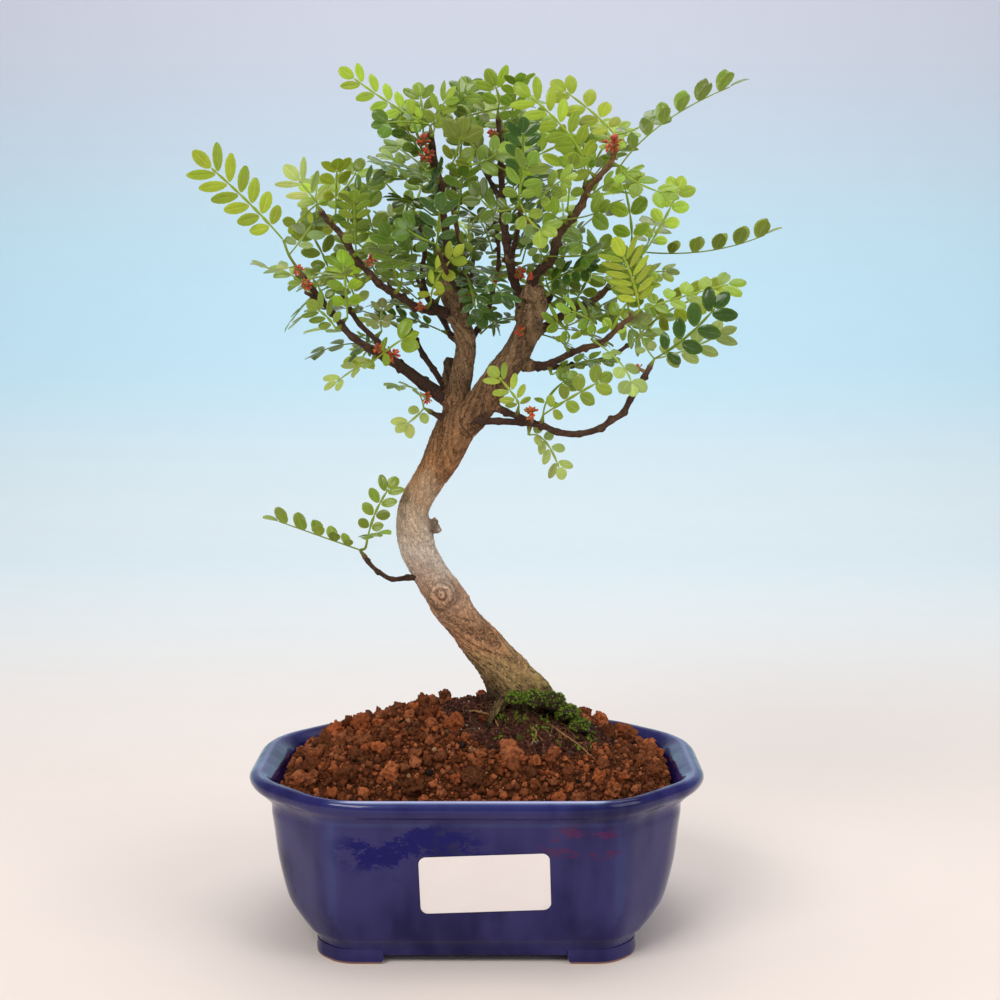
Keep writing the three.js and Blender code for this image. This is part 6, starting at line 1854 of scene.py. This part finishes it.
@cache
def full_foliage():
    """The sprays with every pair of leaflets, and by branch the spurs that fill the crown between them."""
    plan, bones = foliage()
    sprays = []
    grown = []
    for k, spray in enumerate(plan):
        fronds = []
        for f in spray["fronds"]:
            fronds.append(Frond(f.row, f.root, f.middle, f.tip, f.grow, f.row[5], FULL_CLOSENESS))
            fronds[-1].bunch = k
        grown += fronds
        sprays.append({**spray, "fronds": fronds})
    blooms = [bloom(*row) for row in SMALL_FLOWERS]
    bones = bones + [Bone(b["centre"], b["centre"], b["radius"], "bloom") for b in blooms]
    draw = dice(5150)
    extras = {}
    for name in BRANCHES:
        line, girth = branch_line(name)
        if name in THICK or line[-1][2] < CROWN["floor"]:
            continue
        place = 0.6
        while place < len(line) - 1.1:
            place += 0.36 + 0.3 * draw()
            seat_place = min(place, len(line) - 1.1)
            point = perch(name, seat_place)[0]
            free = (draw() - 0.5, draw() - 0.5, draw() - 0.3)
            if abs(point[0] - CROWN["core_x"]) > CROWN["core_half"] and draw() < CROWN["left_out"]:
                continue
            outward = unit(add(mul(unit(sub(point, CROWN["middle"])), 0.45), free))
            spur = {**start_spray(name, seat_place, add(point, outward), []), "fronds": []}
            root = spur["joints"][0]
            bunch = f"{name}_{place:.2f}"

            def suits(tried):
                if not in_crown(tried.tip) or hides_wood(tried):
                    return False
                return is_clear(tried, bones + grown, bunch, CROWN["margin"])

            for row in spur_rows(root, outward, 2 + floor(2 * draw()), draw):
                full = {"pairs": row[5], "closeness": FULL_CLOSENESS}
                frond = grow_frond(row, root, bunch, SPUR_TRIES, suits, **full) if in_crown(row[2]) else None
                if frond:
                    grown.append(frond)
                    spur["fronds"].append(frond)
            if spur["fronds"]:
                bones.append(Bone(spur["seat"], root, SHOOT_RADIUS, bunch))
                extras.setdefault(name, []).append(spur)
    return sprays, extras


class BONSAI_OT_sprays(Operator):
    """Grows each leafy spray: its shoot, its fronds and their leaflets"""

    bl_idname = "bonsai.sprays"
    bl_label = "Leafy Sprays"

    def execute(self, context):
        leaves = context.scene.bonsai_leaves
        finish = leaf_finish(leaves)
        rng = np.random.RandomState(2203)
        sprays, extras = full_foliage()
        for number, spray in enumerate(sprays, 1):
            sheaf = grown_sheaf([spray], leaves, rng)
            make_piece(f"spray_{number}", sheaf, finish, [f"leafy_spray_{number}"], sharp=70)
        for name, spurs in extras.items():
            make_piece(f"spurs_{name}", grown_sheaf(spurs, leaves, rng), finish, sharp=70)
        return {"FINISHED"}


def add_cluster(sheaf, cluster, rng):
    """Many small pointed buds on short green stalks round the end of one stalk."""
    seat, out, centre = (np.array(cluster[key]) for key in ("seat", "out", "centre"))
    radius = cluster["radius"]
    foot_point = seat - out * (GAP + 0.6)
    add_tube(sheaf, np.linspace(foot_point, centre, 5), np.linspace(0.75, 0.5, 5), 8, linear(120, 96, 52))
    forms, faces = ball(2)
    for _ in range(24):
        way = rng.normal(size=3)
        way /= np.linalg.norm(way)
        way = way + out * 0.4
        way /= np.linalg.norm(way)
        start = centre + out * 0.1 * radius
        tip = centre + way * radius * rng.uniform(0.6, 1.05)
        add_tube(sheaf, np.linspace(start, tip, 3), (0.26, 0.22, 0.2), 5, linear(140, 128, 56))
        length = radius * rng.uniform(0.22, 0.36)
        narrow = 0.62 - 0.16 * forms[:, 2:3]
        shape = np.hstack([forms[:, :2] * narrow, forms[:, 2:3]]) * length
        red = linear(*rng.uniform((150, 48, 28), (212, 108, 58)))
        sheaf.add(tip + shape @ pointing(way), [faces], red)


class BONSAI_OT_buds(Operator):
    """Sets the clusters of red and orange flower buds at the nodes"""

    bl_idname = "bonsai.buds"
    bl_label = "Flower Buds"

    def execute(self, context):
        finish = bud_finish()
        rng = np.random.RandomState(511)
        for number, row in enumerate(FLOWERS, 1):
            sheaf = Sheaf()
            add_cluster(sheaf, bloom(*row), rng)
            make_piece(f"buds_{number}", sheaf, finish, [f"flower_buds_{number}"], sharp=60)
        sheaf = Sheaf()
        for row in SMALL_FLOWERS:
            add_cluster(sheaf, bloom(*row), rng)
        make_piece("small_buds", sheaf, finish, sharp=60)
        return {"FINISHED"}


class BONSAI_OT_stage(Operator):
    """Sets the camera, the soft lights and the pale sweep that the pot stands on"""

    bl_idname = "bonsai.stage"
    bl_label = "Stage"

    def execute(self, context):
        stage = context.scene.bonsai_stage
        scene = context.scene
        camera = bpy.data.cameras.new("camera")
        camera.sensor_width = 36
        camera.lens = CAMERA_LENS
        camera.clip_start = 0.01
        eye = linked("camera", camera)
        eye.location = (np.array(EYE) + SHIFT) * MILLIMETRE
        eye.rotation_euler = (radians(90 - CAMERA_PITCH), 0, 0)
        scene.camera = eye
        for name, place, aim, extent, energy, colour in (
            ("key", (-0.6, -0.85, 1.0), (0, 0, 0.12), (0.8, 0.6), stage.key, (1.0, 0.96, 0.9)),
            ("fill", (0.9, -0.6, 0.6), (0, 0, 0.15), (0.7, 0.7), stage.key * 0.4, (1.0, 0.98, 0.95)),
            ("top", (0.1, 0.35, 1.5), (0, 0.2, 0.1), (1.4, 1.2), stage.key * 1.3, (1.0, 0.98, 0.95)),
        ):
            data = bpy.data.lights.new(name, "AREA")
            data.shape = "RECTANGLE"
            data.size, data.size_y = extent
            data.energy = energy
            data.color = colour
            light = linked(name, data)
            light.location = place
            light.rotation_euler = (Vector(aim) - Vector(place)).to_track_quat("-Z", "Y").to_euler()
        world = bpy.data.worlds.new("soft room")
        scene.world = world
        world.use_nodes = True
        sky = world.node_tree.nodes["Background"]
        sky.inputs["Color"].default_value = (0.93, 0.96, 1.0, 1)
        sky.inputs["Strength"].default_value = stage.room
        scene.view_settings.view_transform = "Standard"
        scene.view_settings.exposure = 0
        turn = np.linspace(0, pi / 2, 16)
        profile = [(-1.6, 0.0), *zip(0.9 + 0.5 * np.sin(turn), 0.5 - 0.5 * np.cos(turn)), (1.4, 2.6)]
        points = np.array([(x, y, z) for y, z in profile for x in (-2.6, 2.6)])
        faces = np.array([[2 * k, 2 * k + 1, 2 * k + 3, 2 * k + 2] for k in range(len(profile) - 1)])
        mesh = plain_mesh("sweep", points, [faces])
        mesh.shade_smooth()
        mesh.materials.append(stage_finish(stage))
        linked("sweep", mesh)
        return {"FINISHED"}


def colour_property(name, description, red, green, blue):
    return FloatVectorProperty(name=name, description=description, default=linear(red, green, blue).tolist(),
                               subtype="COLOR", min=0, max=1)


def number_property(name, description, default, **kind):
    return FloatProperty(name=name, description=description, default=default, **kind)


def count_property(name, description, default):
    return IntProperty(name=name, description=description, default=default)


class PotSettings(PropertyGroup):
    deep: colour_property("Deep Glaze", "Where the glaze is thick", 12, 8, 66)
    cobalt: colour_property("Cobalt Glaze", "Where the glaze is thinner", 30, 26, 92)
    # Also the colour of the painted highlight band under the lip and of the lip's painted sheen.
    thin: colour_property("Thin Glaze", "On the lip's edges", 60, 78, 136)
    # Colour of the painted highlight along the top of the lip.
    crest_highlight: colour_property("Crest", "Along the top of the lip", 180, 188, 228)
    blush: colour_property("Blush", "The few purple spots", 62, 4, 70)
    pool: colour_property("Pool", "Where the glaze lies deepest", 6, 4, 88)
    clay: colour_property("Bare Clay", "Under the feet", 196, 150, 112)
    label_thick: number_property("Label Thickness", "Thickness of the paper label", 0.00025, unit="LENGTH")


class SoilSettings(PropertyGroup):
    akadama: colour_property("Akadama", "Colour of the soil's grains", 146, 80, 46)
    peat: colour_property("Root Ball", "Colour of the peat round the trunk", 90, 54, 42)
    big_grains: count_property("Big Grains", "Tries for grains of 4 to 7 mm", 300)
    middle_grains: count_property("Middle Grains", "Tries for grains of 2 to 4 mm", 1500)
    small_grains: count_property("Small Grains", "Tries for crumbs of 1 to 2 mm", 4200)
    rootlets: count_property("Rootlets", "Tries for fine roots on the root ball", 90)
    crumbs: count_property("Crumbs", "Tries for crumbs under 1 mm", 4600)


class WoodSettings(PropertyGroup):
    voxel: number_property("Skin Detail", "Grid of the trunk's skin", 0.00056, unit="LENGTH")
    moss: colour_property("Moss", "Colour of the moss", 112, 146, 48)


class LeafSettings(PropertyGroup):
    young: colour_property("Young Leaf", "Yellow-green of thin young leaves", 164, 186, 54)
    mature: colour_property("Mature Leaf", "Green of thick mature leaves", 64, 98, 26)
    pale: colour_property("Pale Leaf", "Grey-green of shaded and turned leaves", 172, 184, 126)
    glow: number_property("Glow", "Light that passes through a leaf", 0.22, subtype="FACTOR")


class StageSettings(PropertyGroup):
    floor: colour_property("Floor", "Colour of the floor near the pot", 227, 216, 210)
    low: colour_property("Far Floor", "Colour of the far floor", 226, 238, 243)
    middle: colour_property("Backdrop", "Colour of the backdrop", 198, 233, 250)
    top: colour_property("Upper Backdrop", "Colour of the backdrop's upper part", 214, 218, 233)
    key: number_property("Key Light", "Power of the main soft light", 10.5, unit="POWER")
    room: number_property("Room Light", "Brightness of the room", 0.36)


SETTINGS = (
    ("bonsai_pot", PotSettings), ("bonsai_soil", SoilSettings), ("bonsai_wood", WoodSettings),
    ("bonsai_leaves", LeafSettings), ("bonsai_stage", StageSettings),
)
OPERATORS = (
    BONSAI_OT_pot, BONSAI_OT_label, BONSAI_OT_soil, BONSAI_OT_wood, BONSAI_OT_moss, BONSAI_OT_sprays,
    BONSAI_OT_buds, BONSAI_OT_stage,
)


class BONSAI_PT_pieces(Panel):
    """Lists the pieces of the bonsai"""

    bl_label = "Pepper Bonsai"
    bl_space_type = "VIEW_3D"
    bl_region_type = "UI"
    bl_category = "Bonsai"

    def draw(self, context):
        for operator in OPERATORS:
            self.layout.operator(operator.bl_idname)
        for name, group in SETTINGS:
            box = self.layout.box()
            for key in group.__annotations__:
                box.prop(getattr(context.scene, name), key)


def register():
    for name, group in SETTINGS:
        bpy.utils.register_class(group)
        setattr(bpy.types.Scene, name, PointerProperty(type=group))
    for operator in OPERATORS:
        bpy.utils.register_class(operator)
    bpy.utils.register_class(BONSAI_PT_pieces)


def unregister():
    bpy.utils.unregister_class(BONSAI_PT_pieces)
    for operator in reversed(OPERATORS):
        bpy.utils.unregister_class(operator)
    for name, group in reversed(SETTINGS):
        delattr(bpy.types.Scene, name)
        bpy.utils.unregister_class(group)


def corners(bounds):
    return [[float(value) for value in corner] for corner in bounds]


def main():
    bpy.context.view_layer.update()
    register()
    for operator in OPERATORS:
        group, name = operator.bl_idname.split(".")
        getattr(getattr(bpy.ops, group), name)()


if __name__ == "__main__":
    main()
